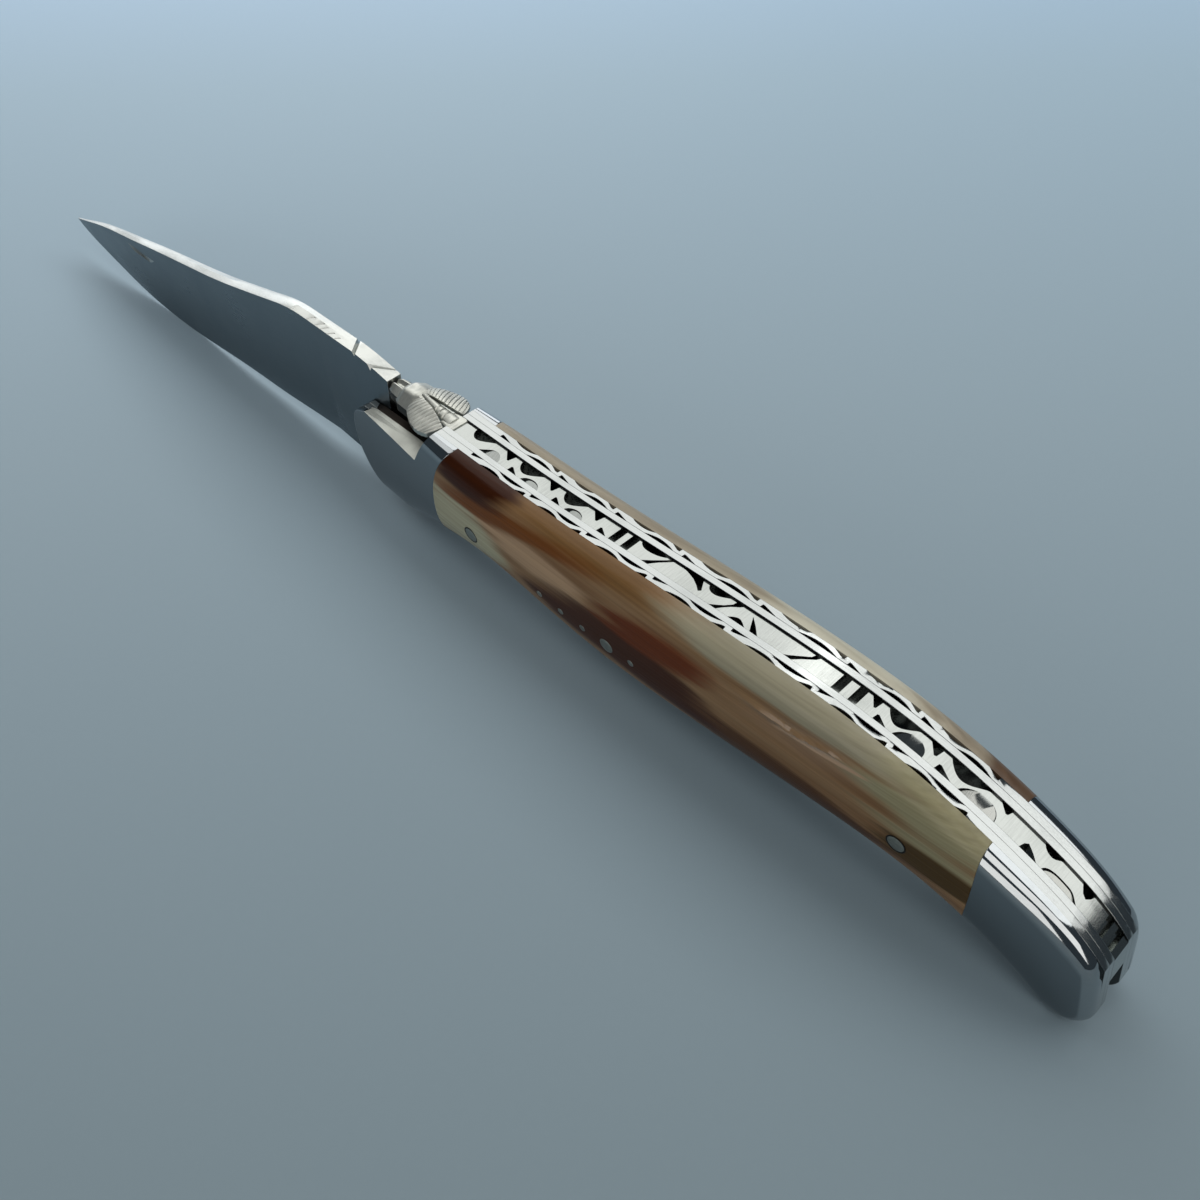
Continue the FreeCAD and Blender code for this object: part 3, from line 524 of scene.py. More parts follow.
    def front(self) -> Border:
        """Draw the bolsters' rounded front.

        Returns:
            Its line.
        """
        start = (self.along(self.stations[1][0]), -self.stations[1][2] * self.depth)
        xs, zs = Course((start,) + tuple((-x * self.setback, z * self.depth) for x, z in self.nose)).drawn()
        return zs, xs

    def butt(self) -> Border:
        """Draw the butt's flat and rounded corner.

        Returns:
            Their line.
        """
        head = np.array((self.along(self.butt_head[0]), self.butt_head[1] * self.depth))
        foot = np.array((self.along(self.butt_foot[0]), self.butt_foot[1] * self.depth))
        last = np.array((self.along(self.stations[-2][0]), -self.stations[-2][2] * self.depth))
        middle = foot + (last - foot) * np.array(self.butt_corner)
        shares = tuple(((x + self.setback) / self.length, z / self.depth) for x, z in (last, middle, foot))
        heights, xs = self.arc(shares)
        return np.concatenate((heights, [head[1]])), np.concatenate((xs, [head[0]]))


@dataclass(frozen=True)
class Welt:
    """Ridge of the horn's own skin that the polishing left on the right slab.

    Attributes:
        line: Its course behind the pivot and above the axis.
        height_mm: Height of the ridge.
        width_mm: Half its width.
        hollow_mm: Half the width of the hollow.
    """

    line: Pairs = ((60.0, 7.4), (66.0, 6.9), (70.8, 6.7), (75.6, 7.8), (82.5, 8.4))
    height_mm: float = 0.50
    width_mm: float = 0.42
    hollow_mm: float = 1.7

    def lift(self, x: float, z: float) -> float:
        """Find the height of the ridge in the shallow hollow that it stands in.

        Args:
            x: Distance behind the pivot.
            z: Height over the axis.

        Returns:
            Height over the polished side, nothing or less.
        """
        first, last = self.line[0][0], self.line[-1][0]
        if not first < x < last:
            return 0.0
        taper = math.sin(math.pi * (x - first) / (last - first)) ** 1.5
        off = z - float(np.interp(x, *zip(*self.line)))
        ridge = math.exp(-(off / self.width_mm) ** 2)
        hollow = math.exp(-(off / self.hollow_mm) ** 2)
        return self.height_mm * taper * (ridge - hollow)


def placed(sheet: BMesh, name: str) -> Object:
    """Turn a bmesh into an object of the scene.

    Args:
        sheet: The shape, in its final place; it is freed.
        name: Name of the object.

    Returns:
        The object.
    """
    mesh = bpy.data.meshes.new(name)
    sheet.to_mesh(mesh)
    sheet.free()
    piece = bpy.data.objects.new(name, mesh)
    bpy.context.scene.collection.objects.link(piece)
    return piece


def settle(sheet: BMesh, name: str, material: Material, crease: float = 32.0) -> Object:
    """Finish a shape in the handle's own millimetres and set it on the handle.

    Args:
        sheet: The shape; it is freed.
        name: Piece name.
        material: Its finish.
        crease: Degrees from which an edge stays sharp.

    Returns:
        The piece.
    """
    bmesh.ops.remove_doubles(sheet, verts=sheet.verts, dist=JOIN_MM)
    bmesh.ops.dissolve_degenerate(sheet, edges=sheet.edges, dist=JOIN_MM / 2)
    bmesh.ops.recalc_face_normals(sheet, faces=sheet.faces)
    for face in sheet.faces:
        face.smooth = True
    for edge in sheet.edges:
        edge.smooth = len(edge.link_faces) == 2 and edge.calc_face_angle() < math.radians(crease)
    bmesh.ops.transform(sheet, matrix=HANDLE_FRAME, verts=sheet.verts)
    piece = placed(sheet, name)
    piece.data.materials.append(material)
    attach(piece, "handle")
    LOG.info("%s: %d faces, %s", name, len(piece.data.polygons), material.name)
    return piece


def lowered(sheet: BMesh, rim: list[BMEdge]) -> list[BMVert]:
    """Start walls under a rim and hand back their lower points."""
    walls = bmesh.ops.extrude_edge_only(sheet, edges=rim)["geom"]
    return [part for part in walls if isinstance(part, BMVert)]


def close(sheet: BMesh) -> None:
    """Fill the open rim of a sheet with one face."""
    bmesh.ops.contextual_create(sheet, geom=[edge for edge in sheet.edges if edge.is_boundary])


@dataclass
class SideSkin:
    """Rounded side piece between two borders: a bolster or a horn slab.

    Attributes:
        form: The handle's outside form.
        start: Front border.
        end: Rear border.
        ease_mm: Rounding of the front and rear edges.
        cells: Cells along and round.
        relief: Height added to the side at a place behind the pivot and above the axis.
        limit_mm: Farthest that the side may stand from the middle.
        run_out: Share of the way round in which the rear rounding runs out at the belly.
        brim: Cells along each rounding.
        pulls: Steps towards a point's distance behind the pivot, the later ones damped.
    """

    form: HandleForm
    start: Border
    end: Border
    ease_mm: Pair = (0.08, 0.08)
    cells: tuple[int, int] = (96, 64)
    relief: Callable[[float, float], float] | None = None
    limit_mm: float = 6.62
    run_out: float = 0.15
    brim: int = 4
    pulls: tuple[float, ...] = (1.0, 1.0, 1.0, 0.5, 0.5, 0.5, 0.5, 0.5)

    def place(self, step: int, turn: float) -> Vector:
        """Find one point of the skin.

        Args:
            step: Column, counted from the front border.
            turn: Way round the side, 0 at the back and 1 at the belly.

        Returns:
            Its place.
        """
        left = self.cells[0] - step
        first = self.ease_mm[0]
        last = max(self.ease_mm[1] * min((1.0 - turn) / self.run_out, 1.0), min(self.ease_mm))
        x, sunk = 0.0, 0.0
        for pull in self.pulls:
            z = self.form.spot(x, turn)[1]
            front = float(np.interp(z, *self.start)) + first
            rear = float(np.interp(z, *self.end)) - last
            if step < self.brim:
                angle = step / self.brim * math.pi / 2
                goal, sunk = front - first * math.cos(angle), first * (1 - math.sin(angle))
            elif left < self.brim:
                angle = left / self.brim * math.pi / 2
                goal, sunk = rear + last * math.cos(angle), last * (1 - math.sin(angle))
            else:
                goal = front + (rear - front) * (step - self.brim) / (self.cells[0] - 2 * self.brim)
            x += (goal - x) * pull
        y, z = self.form.spot(x, turn)
        out = self.form.outward(x, turn)
        lift = (self.relief(x, z) if self.relief else 0.0) - sunk
        return Vector((x, min(max(y + out.y * lift, self.form.face), self.limit_mm), z + out.z * lift))

    def shell(self) -> BMesh:
        """Wrap a grid round the side and close its ends and back.

        Returns:
            The left piece, in the handle's own millimetres.
        """
        sheet = bmesh.new()
        bmesh.ops.create_grid(sheet, x_segments=self.cells[0], y_segments=self.cells[1], size=0.5)
        ends = [edge for edge in sheet.edges if edge.is_boundary and all(abs(v.co.x) > GRID_RIM for v in edge.verts)]
        for vert in sheet.verts:
            vert.co = self.place(round((vert.co.x + 0.5) * self.cells[0]), vert.co.y + 0.5)
        for vert in lowered(sheet, ends):
            vert.co.y = self.form.face
        bmesh.ops.remove_doubles(sheet, verts=sheet.verts, dist=JOIN_MM)
        close(sheet)
        return sheet

    def build(self, stem: str, side: Hand, node: str, material: Material, slot: str) -> Object:
        """Make the piece of one side, in place of its solid.

        Args:
            stem: Piece name without the side.
            side: Left or right.
            node: Solid that it replaces.
            material: Its finish.
            slot: Material slot of the part; not used.

        Returns:
            The piece.
        """
        sheet = self.shell()
        side.turn(sheet)
        piece = settle(sheet, "%s_%s" % (stem, side.tag), material)
        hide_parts(node)
        return piece


@dataclass
class FacetedSkin(SideSkin):
    """Front bolster, with its top filed down to a flat and a leaning wall behind it.

    Attributes:
        flat_mm: Height of the flat over the axis.
        crease_mm: Distance of the wall's foot behind the pivot.
        wall: Run and rise of the leaning wall.
        fall: Degrees that the flat falls outwards.
        rim_mm: Flat's outer edge from the middle.
        slot_mm: Flat's inner edge from the middle.
        nose_mm: Reach and drop of the inner part's rounded nose.
        nose_share: Share of the inner part that its nose takes up.
        seam_mm: Inner edge of its pale part from the middle; inside it lies painted shade.
        sink_mm: Depth of the painted-shade edge inside the seam.
        foot_mm: Depth of the inner part under the flat.
    """

    flat_mm: float = 4.6
    crease_mm: float = 5.6
    wall: Pair = (2.6, 5.04)
    fall: float = 11.0
    rim_mm: float = 4.85
    slot_mm: float = 1.46
    nose_mm: Pair = (0.9, 0.75)
    nose_share: float = 0.22
    seam_mm: float = 2.60
    sink_mm: float = 0.3
    foot_mm: float = 0.05

    def upward(self, side: Hand) -> Vector:
        """Unit vector that the flat of one side faces."""
        fall = math.radians(self.fall)
        return Vector((0.0, side.value * math.sin(fall), math.cos(fall)))

    def shell(self) -> BMesh:
        """Cut the flat and the wall out of the closed skin.

        Returns:
            The left piece, in the handle's own millimetres.
        """
        sheet = super().shell()
        foot = Vector((self.crease_mm, self.rim_mm, self.flat_mm))
        planes = (self.upward(Hand.LEFT), Vector((-self.wall[1], 0.0, self.wall[0])).normalized())
        for normal in planes:
            bmesh.ops.bisect_plane(sheet, geom=sheet.verts[:] + sheet.edges[:] + sheet.faces[:], dist=PLANE_MM,
                                   plane_co=foot, plane_no=normal)
        gone = [face for face in sheet.faces
                if all((face.calc_center_median() - foot).dot(normal) > PLANE_MM for normal in planes)]
        bmesh.ops.delete(sheet, geom=gone, context="FACES")
        rim = [edge for edge in sheet.edges if edge.is_boundary]
        corners = {vert for edge in rim for vert in edge.verts
                   if all(abs((vert.co - foot).dot(normal)) < 4 * PLANE_MM for normal in planes)}
        crease = sheet.edges.new(tuple(corners))
        for normal in planes:
            lying = [edge for edge in rim if all(abs((v.co - foot).dot(normal)) < 4 * PLANE_MM for v in edge.verts)]
            bmesh.ops.contextual_create(sheet, geom=lying + [crease])
        return sheet

    def dress_flat(self, piece: Object, side: Hand, material: Material) -> None:
        """Give the flat of a finished piece its own finish.

        Args:
            piece: The bolster.
            side: Left or right.
            material: Finish of the flat.
        """
        piece.data.materials.append(material)
        up = HANDLE_FRAME.to_quaternion() @ self.upward(side)
        for face in piece.data.polygons:
            if face.area > MM ** 2 and face.normal.dot(up) > 0.9995:
                face.material_index = 1

    def inner_flat(self, side: Hand, material: Material, shade: Material) -> None:
        """Carry the flat over the liners to the blade's slot.

        Args:
            side: Left or right.
            material: Its finish.
            shade: Finish of its inner edge over the blade's slot, painted shade.
        """
        sheet = bmesh.new()
        bmesh.ops.create_grid(sheet, x_segments=30, y_segments=9, size=0.5)
        rim = [edge for edge in sheet.edges if edge.is_boundary]
        front = float(np.interp(self.flat_mm, *self.start)) + self.ease_mm[0] - self.nose_mm[0]
        for vert in sheet.verts:
            share = vert.co.x + 0.5
            y = self.slot_mm + (self.form.face - self.slot_mm) * (vert.co.y + 0.5)
            z = self.flat_mm + (self.rim_mm - y) * math.tan(math.radians(self.fall))
            z -= self.sink_mm if y < self.seam_mm else 0.0
            rear = self.crease_mm + (z - self.flat_mm) * self.wall[0] / self.wall[1]
            sunk = self.nose_mm[1] * max(1 - share / self.nose_share, 0.0) ** 2
            vert.co = Vector((front + (rear - front) * share, y, z - sunk))
        for vert in lowered(sheet, rim):
            vert.co.z = min(vert.co.z, self.flat_mm) - self.foot_mm
        close(sheet)
        side.turn(sheet)
        piece = settle(sheet, "facet_%s" % side.tag, material)
        piece.data.materials.append(shade)
        # Faces inside the seam take the dark finish: painted shade over the slot
        for face in piece.data.polygons:
            face.material_index = int(abs(face.center.y) < self.seam_mm * MM)


@dataclass
class PinHeads:
    """Peened heads of the rivets and of the small pins of the cross, just proud of the horn.

    Attributes:
        form: The handle's outside form.
        rivet_mm: Rivet diameter.
        dot_mm: Diameter of the cross's pins.
        proud_mm: Height of the domes of rivets and of the cross's pins.
        root_mm: Depth of a head under the horn's face.
        limit_mm: Farthest that a head may stand from the middle.
        seam: Dark seam round a rivet: distance beyond its edge, height.
        rivets: Rivet places, shares of length and depth.
        pitch_mm: Spacing of the cross.
        cross: Places of the cross's pins round the centre rivet, in pitches.
    """

    form: HandleForm
    rivet_mm: float = 2.2
    dot_mm: float = 1.0
    proud_mm: Pair = (0.09, 0.054)
    root_mm: float = 0.5
    limit_mm: float = 6.59
    seam: Pairs = ((-0.05, -0.2), (-0.02, 0.035), (0.16, 0.03), (0.20, -0.2))
    rivets: Pairs = ((0.2335, -0.055), (0.4470, -0.105), (0.8000, 0.070))
    pitch_mm: float = 4.1
    cross: Pairs = (
        (0.20, 1.22), (1.02, 0.05), (-1.05, -0.05), (-2.03, -0.07), (-3.00, -0.02), (-0.20, -0.95))

    def turned(self, sheet: BMesh, profile: Sequence[Pair], x: float, z: float) -> None:
        """Turn one profile and set it on the side.

        Args:
            sheet: Shape that it joins.
            profile: Radius and height pairs.
            x: Distance behind the pivot.
            z: Height over the axis.
        """
        spots = [sheet.verts.new((reach, 0.0, height)) for reach, height in profile]
        edges = [sheet.edges.new(pair) for pair in zip(spots, spots[1:])]
        kept = set(sheet.verts[:]) - set(spots)
        bmesh.ops.spin(sheet, geom=spots + edges, cent=(0.0, 0.0, 0.0), axis=(0.0, 0.0, 1.0), angle=math.tau, steps=28,
                       use_merge=True)
        turn = self.form.turn_at(x, z)
        out = self.form.outward(x, turn)
        top = self.limit_mm - max(height for _, height in profile)
        seat = Vector((x, min(self.form.spot(x, turn)[0], top), z))
        move = Matrix.Translation(seat) @ out.to_track_quat("Z", "X").to_matrix().to_4x4()
        bmesh.ops.transform(sheet, matrix=move, verts=[vert for vert in sheet.verts if vert not in kept])

    def dome(self, width: float, proud: float) -> Pairs:
        """Profile of a peened head, from its rim to its middle."""
        reach = width / 2
        return ((reach, -self.root_mm), (reach, 0.0), (reach * 0.94, proud * 0.45), (reach * 0.75, proud * 0.80),
                (reach * 0.40, proud), (0.0, proud))

    def build(self, side: Hand, steel: Material, shade: Material) -> None:
        """Make the heads of one side and the dark seams round its rivets.

        Args:
            side: Left or right.
            steel: Finish of the heads.
            shade: Finish of the seams.
        """
        centres = [(self.form.along(x), z * self.form.depth) for x, z in self.rivets]
        middle = centres[1]
        dots = [(middle[0] + x * self.pitch_mm, middle[1] + z * self.pitch_mm) for x, z in self.cross]
        ring = tuple((self.rivet_mm / 2 + beyond, height) for beyond, height in self.seam)
        sets = (("rivet_heads", centres, self.dome(self.rivet_mm, self.proud_mm[0]), steel),
                ("cross_heads", dots, self.dome(self.dot_mm, self.proud_mm[1]), steel),
                ("rivet_seams", (centres[0], centres[2]), ring, shade))
        for stem, places, profile, material in sets:
            sheet = bmesh.new()
            for x, z in places:
                self.turned(sheet, profile, x, z)
            side.turn(sheet)
            settle(sheet, "%s_%s" % (stem, side.tag), material, 50.0)


@dataclass
class Bee:
    """Filed bee on the nose of the spring: head, thorax, two ribbed wings and a striped abdomen.

    Attributes:
        nose_mm: Nose of the spring ahead of the pivot.
        seat_mm: Height of the seat over the handle's axis.
        foot_mm: Depth of the pieces under the seat.
        ribs: Ribs across each wing.
        stripes: Stripes across the abdomen.
        strokes: File strokes across the head.
        tilt_mm: How much higher its left edge was filed.
        wing_mm: Thickness of the wings.
        shade_mm: Distance behind the nose and height over the seat up to which its walls are painted dark, as shade.
        head_mm: Begin of the head behind the nose, and its length.
        thorax_mm: The same of the thorax.
        abdomen_mm: The same of the abdomen.
        neck_mm: The same of the plate where it joins the spring.
        outer: Wings' outer edge, behind the nose and from the middle.
        inner: Wings' inner edge.
    """

    nose_mm: float = 4.6
    seat_mm: float = 8.0
    foot_mm: float = 0.3
    ribs: int = 12
    stripes: int = 4
    strokes: int = 4
    tilt_mm: float = 0.55
    wing_mm: float = 0.6
    shade_mm: Pair = (9.0, 0.75)
    head_mm: Pair = (0.15, 2.6)
    thorax_mm: Pair = (2.35, 4.75)
    abdomen_mm: Pair = (6.4, 6.3)
    neck_mm: Pair = (11.3, 2.5)
    outer: Pairs = (
        (5.50, 1.30), (5.75, 2.40), (6.90, 3.42), (8.30, 4.00), (10.2, 4.22), (11.5, 3.80))
    inner: Pairs = ((6.20, 0.45), (7.60, 0.62), (8.80, 0.80), (10.6, 1.20), (12.5, 1.85))

    def at(self, behind: float, across: float, height: float) -> Vector:
        """Place of a point from its distances behind the nose, across and over the seat."""
        return Vector((behind - self.nose_mm, across, self.seat_mm + height))

    def pad(self, sheet: BMesh, cells: tuple[int, int], where: Shape, wall: float | None = None) -> None:
        """Raise a shaped pad with walls under its rim.

        Args:
            sheet: Shape that it joins.
            cells: Cells along and across.
            where: Place of a point from its shares along and across.
            wall: Height of the walls, or none for walls down to the foot.
        """
        grid = bmesh.ops.create_grid(sheet, x_segments=cells[0], y_segments=cells[1], size=0.5)["verts"]
        rim = [edge for edge in {edge for vert in grid for edge in vert.link_edges} if edge.is_boundary]
        for vert in grid:
            vert.co = where(vert.co.x + 0.5, vert.co.y + 0.5)
        low = lowered(sheet, rim)
        for vert in low:
            vert.co.z = vert.co.z - wall if wall else self.seat_mm - self.foot_mm
        bmesh.ops.contextual_create(sheet, geom=[edge for edge in {edge for vert in low for edge in vert.link_edges}
                                                 if edge.is_boundary])

    def head(self, along: float, across: float) -> Vector:
        """Shape the wedge of the head, with a groove between its two eyes.

        Args:
            along: Share of its length.
            across: Share of its width, from the right.

        Returns:
            Place of a point.
        """
        bands = (0.0, 0.10, 0.34, 0.45, 0.55, 0.66, 0.90, 1.0)
        girth = float(np.interp(along, (0.0, 0.35, 1.0), (0.66, 0.88, 1.0)))
        rise = float(np.interp(along, (0.0, 0.30, 1.0), (0.80, 1.0, 1.02)))
        side = float(np.interp(across, bands, (-1.95, -1.90, -0.72, -0.20, 0.20, 0.72, 1.90, 1.95)))
        height = float(np.interp(across, bands, (0.10, 0.85, 1.80, 1.25, 1.25, 1.80, 0.85, 0.10)))
        groove = 0.035 * max(math.cos(along * self.strokes * math.tau), 0.0) ** 3
        return self.at(self.head_mm[0] + self.head_mm[1] * along, side * girth, height * rise - groove)

    def thorax(self, along: float, across: float) -> Vector:
        """Shape the faceted roof of the thorax.

        Args:
            along: Share of its length.
            across: Share of its width, from the right.

        Returns:
            Place of a point.
        """
        marks = (0.0, 0.26, 0.72, 1.0)
        bands = (0.0, 0.12, 0.38, 0.62, 0.88, 1.0)
        rise = float(np.interp(along, marks, (0.62, 0.96, 1.0, 0.90)))
        girth = float(np.interp(along, marks, (0.70, 0.96, 1.0, 0.74)))
        side = float(np.interp(across, bands, (-2.75, -2.70, -0.95, 0.95, 2.70, 2.75)))
        height = float(np.interp(across, bands, (0.20, 0.95, 2.60, 2.60, 0.95 + self.tilt_mm, 0.20)))
        return self.at(self.thorax_mm[0] + self.thorax_mm[1] * along, side * girth, height * rise)

    def abdomen(self, along: float, across: float) -> Vector:
        """Shape the wedge that widens behind, with grooves between its stripes.

        Args:
            along: Share of its length.
            across: Share of its width, from the right.

        Returns:
            Place of a point.
        """
        girth = 0.45 + 0.85 * along
        angle = (across - 0.5) * math.pi
        groove = 0.20 * max(math.cos(along * self.stripes * 2 * math.tau), 0.0) ** 3 * float(0.42 < along < 0.80)
        return self.at(self.abdomen_mm[0] + self.abdomen_mm[1] * along, girth * math.sin(angle),
                       (2.75 - 1.05 * along - groove) * math.cos(angle) ** 0.35)

    def neck(self, along: float, across: float) -> Vector:
        """Place of a point of the plate where the bee joins the spring."""
        rim = min(along, 1 - along, across, 1 - across)
        return self.at(self.neck_mm[0] + self.neck_mm[1] * along, (2.5 + 0.9 * along) * (across - 0.5),
                       1.40 + 0.12 * min(rim / 0.04, 1.0))

    def wing(self, side: Hand) -> Shape:
        """Shape one wing.

        Args:
            side: Left or right.

        Returns:
            Place of a point from its shares along and across the wing.
        """
        outer, inner = Course(self.outer).drawn(), Course(self.inner).drawn()
        steps = np.linspace(0.0, 1.0, len(outer[0]))
        marks = (0.0, 0.25, 0.50, 0.75, 1.0)
        tilt = self.tilt_mm if side is Hand.LEFT else 0.0

        def where(along: float, across: float) -> Vector:
            """Find a point of the wing.

            Args:
                along: Share of its length.
                across: Share of its width, from its inner edge.

            Returns:
                Its place.
            """
            low = [float(np.interp(along, steps, line)) for line in inner]
            high = [float(np.interp(along, steps, line)) for line in outer]
            behind = low[0] + (high[0] - low[0]) * across + 0.22 * along ** 6 * math.sin(math.pi * across)
            out = low[1] + (high[1] - low[1]) * across
            ridge = float(np.interp(along, marks, (2.45, 2.55, 2.40, 1.95, 1.40)))
            brim = float(np.interp(along, marks, (1.60, 1.20, 0.95, 0.85, 0.85))) + tilt
            groove = (0.04 + 0.09 * along) * max(math.cos((along * self.ribs + 0.5) * math.tau), 0.0) ** 3
            fade = min(along / 0.10, 1.0) * min((1 - along) / 0.06, 1.0)
            crown = 0.20 * math.sin(math.pi * across) ** 0.8
            return self.at(behind, side.value * out, ridge + (brim - ridge) * across + crown - groove * fade)

        return where

    def build(self, material: Material, shade: Material) -> None:
        """Make the whole bee, in place of its solid.

        Args:
            material: Filed spring steel.
            shade: Dark finish painted on the walls under it, as shade.
        """
        sheet = bmesh.new()
        self.pad(sheet, (28, 28), self.head)
        self.pad(sheet, (25, 25), self.thorax)
        self.pad(sheet, (60, 20), self.abdomen)
        self.pad(sheet, (10, 16), self.neck)
        for side in Hand:
            self.pad(sheet, (108, 14), self.wing(side), self.wing_mm)
        piece = settle(sheet, "bee_carving", material, 24.0)
        piece.data.materials.append(shade)
        # Low walls near the nose take the dark finish: painted shade under the bee
        low = (HANDLE_FRAME @ self.at(0.0, 0.0, self.shade_mm[1])).z
        end = (HANDLE_FRAME @ self.at(self.shade_mm[0], 0.0, 0.0)).x
        for face in piece.data.polygons:
            face.material_index = int(abs(face.normal.z) < 0.35 and face.center.z < low and face.center.x < end)
        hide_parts("bee")


@dataclass(frozen=True)
class Lamp:
    """Soft lamp that faces the knife.

    Attributes:
        name: Which lamp.
        place: Where it hangs, in metres.
        sides: Its sides in metres.
        watts: Its power.
        colour: sRGB hex.
    """

    name: str
    place: Triple
    sides: Pair
    watts: float
    colour: str

    def hang(self) -> None:
        """Hang the lamp, a low one with its first side level."""
        data = bpy.data.lights.new(self.name, "AREA")
        data.shape = "RECTANGLE"
        data.size, data.size_y = self.sides
        data.energy = self.watts
        data.color = linear(self.colour)[:3]
        holder = bpy.data.objects.new(self.name, data)
        away = Vector(self.place).normalized()
        level = Vector((1.0, 0.0, 0.0)) - away * away.x if away.z > 0.5 else Vector((-away.y, away.x, 0.0))
        across = level.normalized()
        axes = Matrix((across, away.cross(across), away)).transposed().to_4x4()
        axes.translation = Vector(self.place)
        holder.matrix_world = axes
        bpy.context.scene.collection.objects.link(holder)


@dataclass(frozen=True)
class Studio:
    """Camera, lamps, world and floor.

    Attributes:
        place_mm: Where the camera stands.
        right: What is right in its picture.
        down: What is down.
        forward: Where it looks.
        lens_mm: Focal length for a 36 mm frame.
        lamps: Soft lamps all round.
        room: sRGB hex and strength of the even light from the room.
        floor_m: Half the floor's side.
        away: Direction over the floor in which its painted light grows paler.
        painted_falloff_m: Where that begins and ends.
        tones: Shares of that way, and sRGB hex of the floor there.
    """

    place_mm: Triple = (108.83, -74.25, 121.88)
    right: Triple = (0.70493, 0.70912, -0.01492)
    down: Triple = (0.51294, -0.52421, -0.67977)
    forward: Triple = (-0.48987, 0.47153, -0.73327)
    lens_mm: float = 36.06
    lamps: tuple[Lamp, ...] = (
        Lamp("left softbox", (-0.56, 0.42, 0.68), (0.80, 0.62), 3.0, "fffdf9"),
        Lamp("left fill", (-0.60, -0.13, 0.74), (0.75, 0.52), 1.6, "fffdf9"),
        Lamp("right softbox", (0.26, 0.42, 0.76), (1.12, 0.62), 4.6, "fffdf9"),
        Lamp("near softbox", (0.60, -0.28, 0.63), (0.82, 0.54), 2.6, "fffaf4"),
        Lamp("side card", (0.15, -0.88, 0.27), (0.90, 0.50), 2.5, "fffaf4"),
        Lamp("low card", (-0.84, 0.46, 0.22), (1.00, 0.42), 2.6, "fbfdff"))
    room: tuple[str, float] = ("76848e", 0.28)
    floor_m: float = 1.6
    away: Triple = (-0.72, 0.69, 0.0)
    painted_falloff_m: Pair = (-0.10, 0.30)
    tones: tuple[tuple[float, str], ...] = ((0.0, "6d7e87"), (0.30, "8598a4"), (0.62, "95adbe"), (1.0, "a8c6e4"))

    def build(self) -> None:
        """Set up the whole studio."""
        self.camera()
        self.floor()
        for lamp in self.lamps:
            lamp.hang()
        self.world()
        bpy.context.scene.view_settings.view_transform = "Standard"

    def camera(self) -> None:
        """Place the camera where the photograph was taken from."""
        data = bpy.data.cameras.new("camera")
        data.sensor_width = 36.0
        data.lens = self.lens_mm
        data.clip_start = 0.005
        holder = bpy.data.objects.new("camera", data)
        bpy.context.scene.collection.objects.link(holder)
        axes = Matrix((Vector(self.right), -Vector(self.down), -Vector(self.forward))).transposed().to_4x4()
        axes.translation = Vector(self.place_mm) * MM
        holder.matrix_world = axes
        bpy.context.scene.camera = holder

    def floor(self) -> None:
        """Lay a pale blue-grey floor, with painted light that pales it into the distance."""
        # Matt card: no glints; its tone pales into the distance, a painted falloff of the light
        recipe = Recipe("matt card")
        # The card's own grain is a tenth of this, too fine for the picture
        weave = recipe.noise(recipe.place, (1.1, 1.1, 1.1), 2.0)
        depth = recipe.add("VectorMath", {"operation": "DOT_PRODUCT"}, _0=recipe.place, _1=self.away).outputs["Value"]
        tone = recipe.ramp(recipe.spread(recipe.math("MULTIPLY_ADD", weave, 0.006, depth), self.painted_falloff_m), *self.tones)
        sheet = bmesh.new()
        bmesh.ops.create_grid(sheet, x_segments=1, y_segments=1, size=self.floor_m)
        floor = placed(sheet, "floor")
        floor.data.materials.append(recipe.finish(Base_Color=tone, Roughness=0.7))

    def world(self) -> None:
        """Light the room evenly from all round."""
        world = bpy.data.worlds.new("room")
        world.use_nodes = True
        ground = world.node_tree.nodes["Background"]
        ground.inputs["Color"].default_value = linear(self.room[0])
        ground.inputs["Strength"].default_value = self.room[1]
        bpy.context.scene.world = world


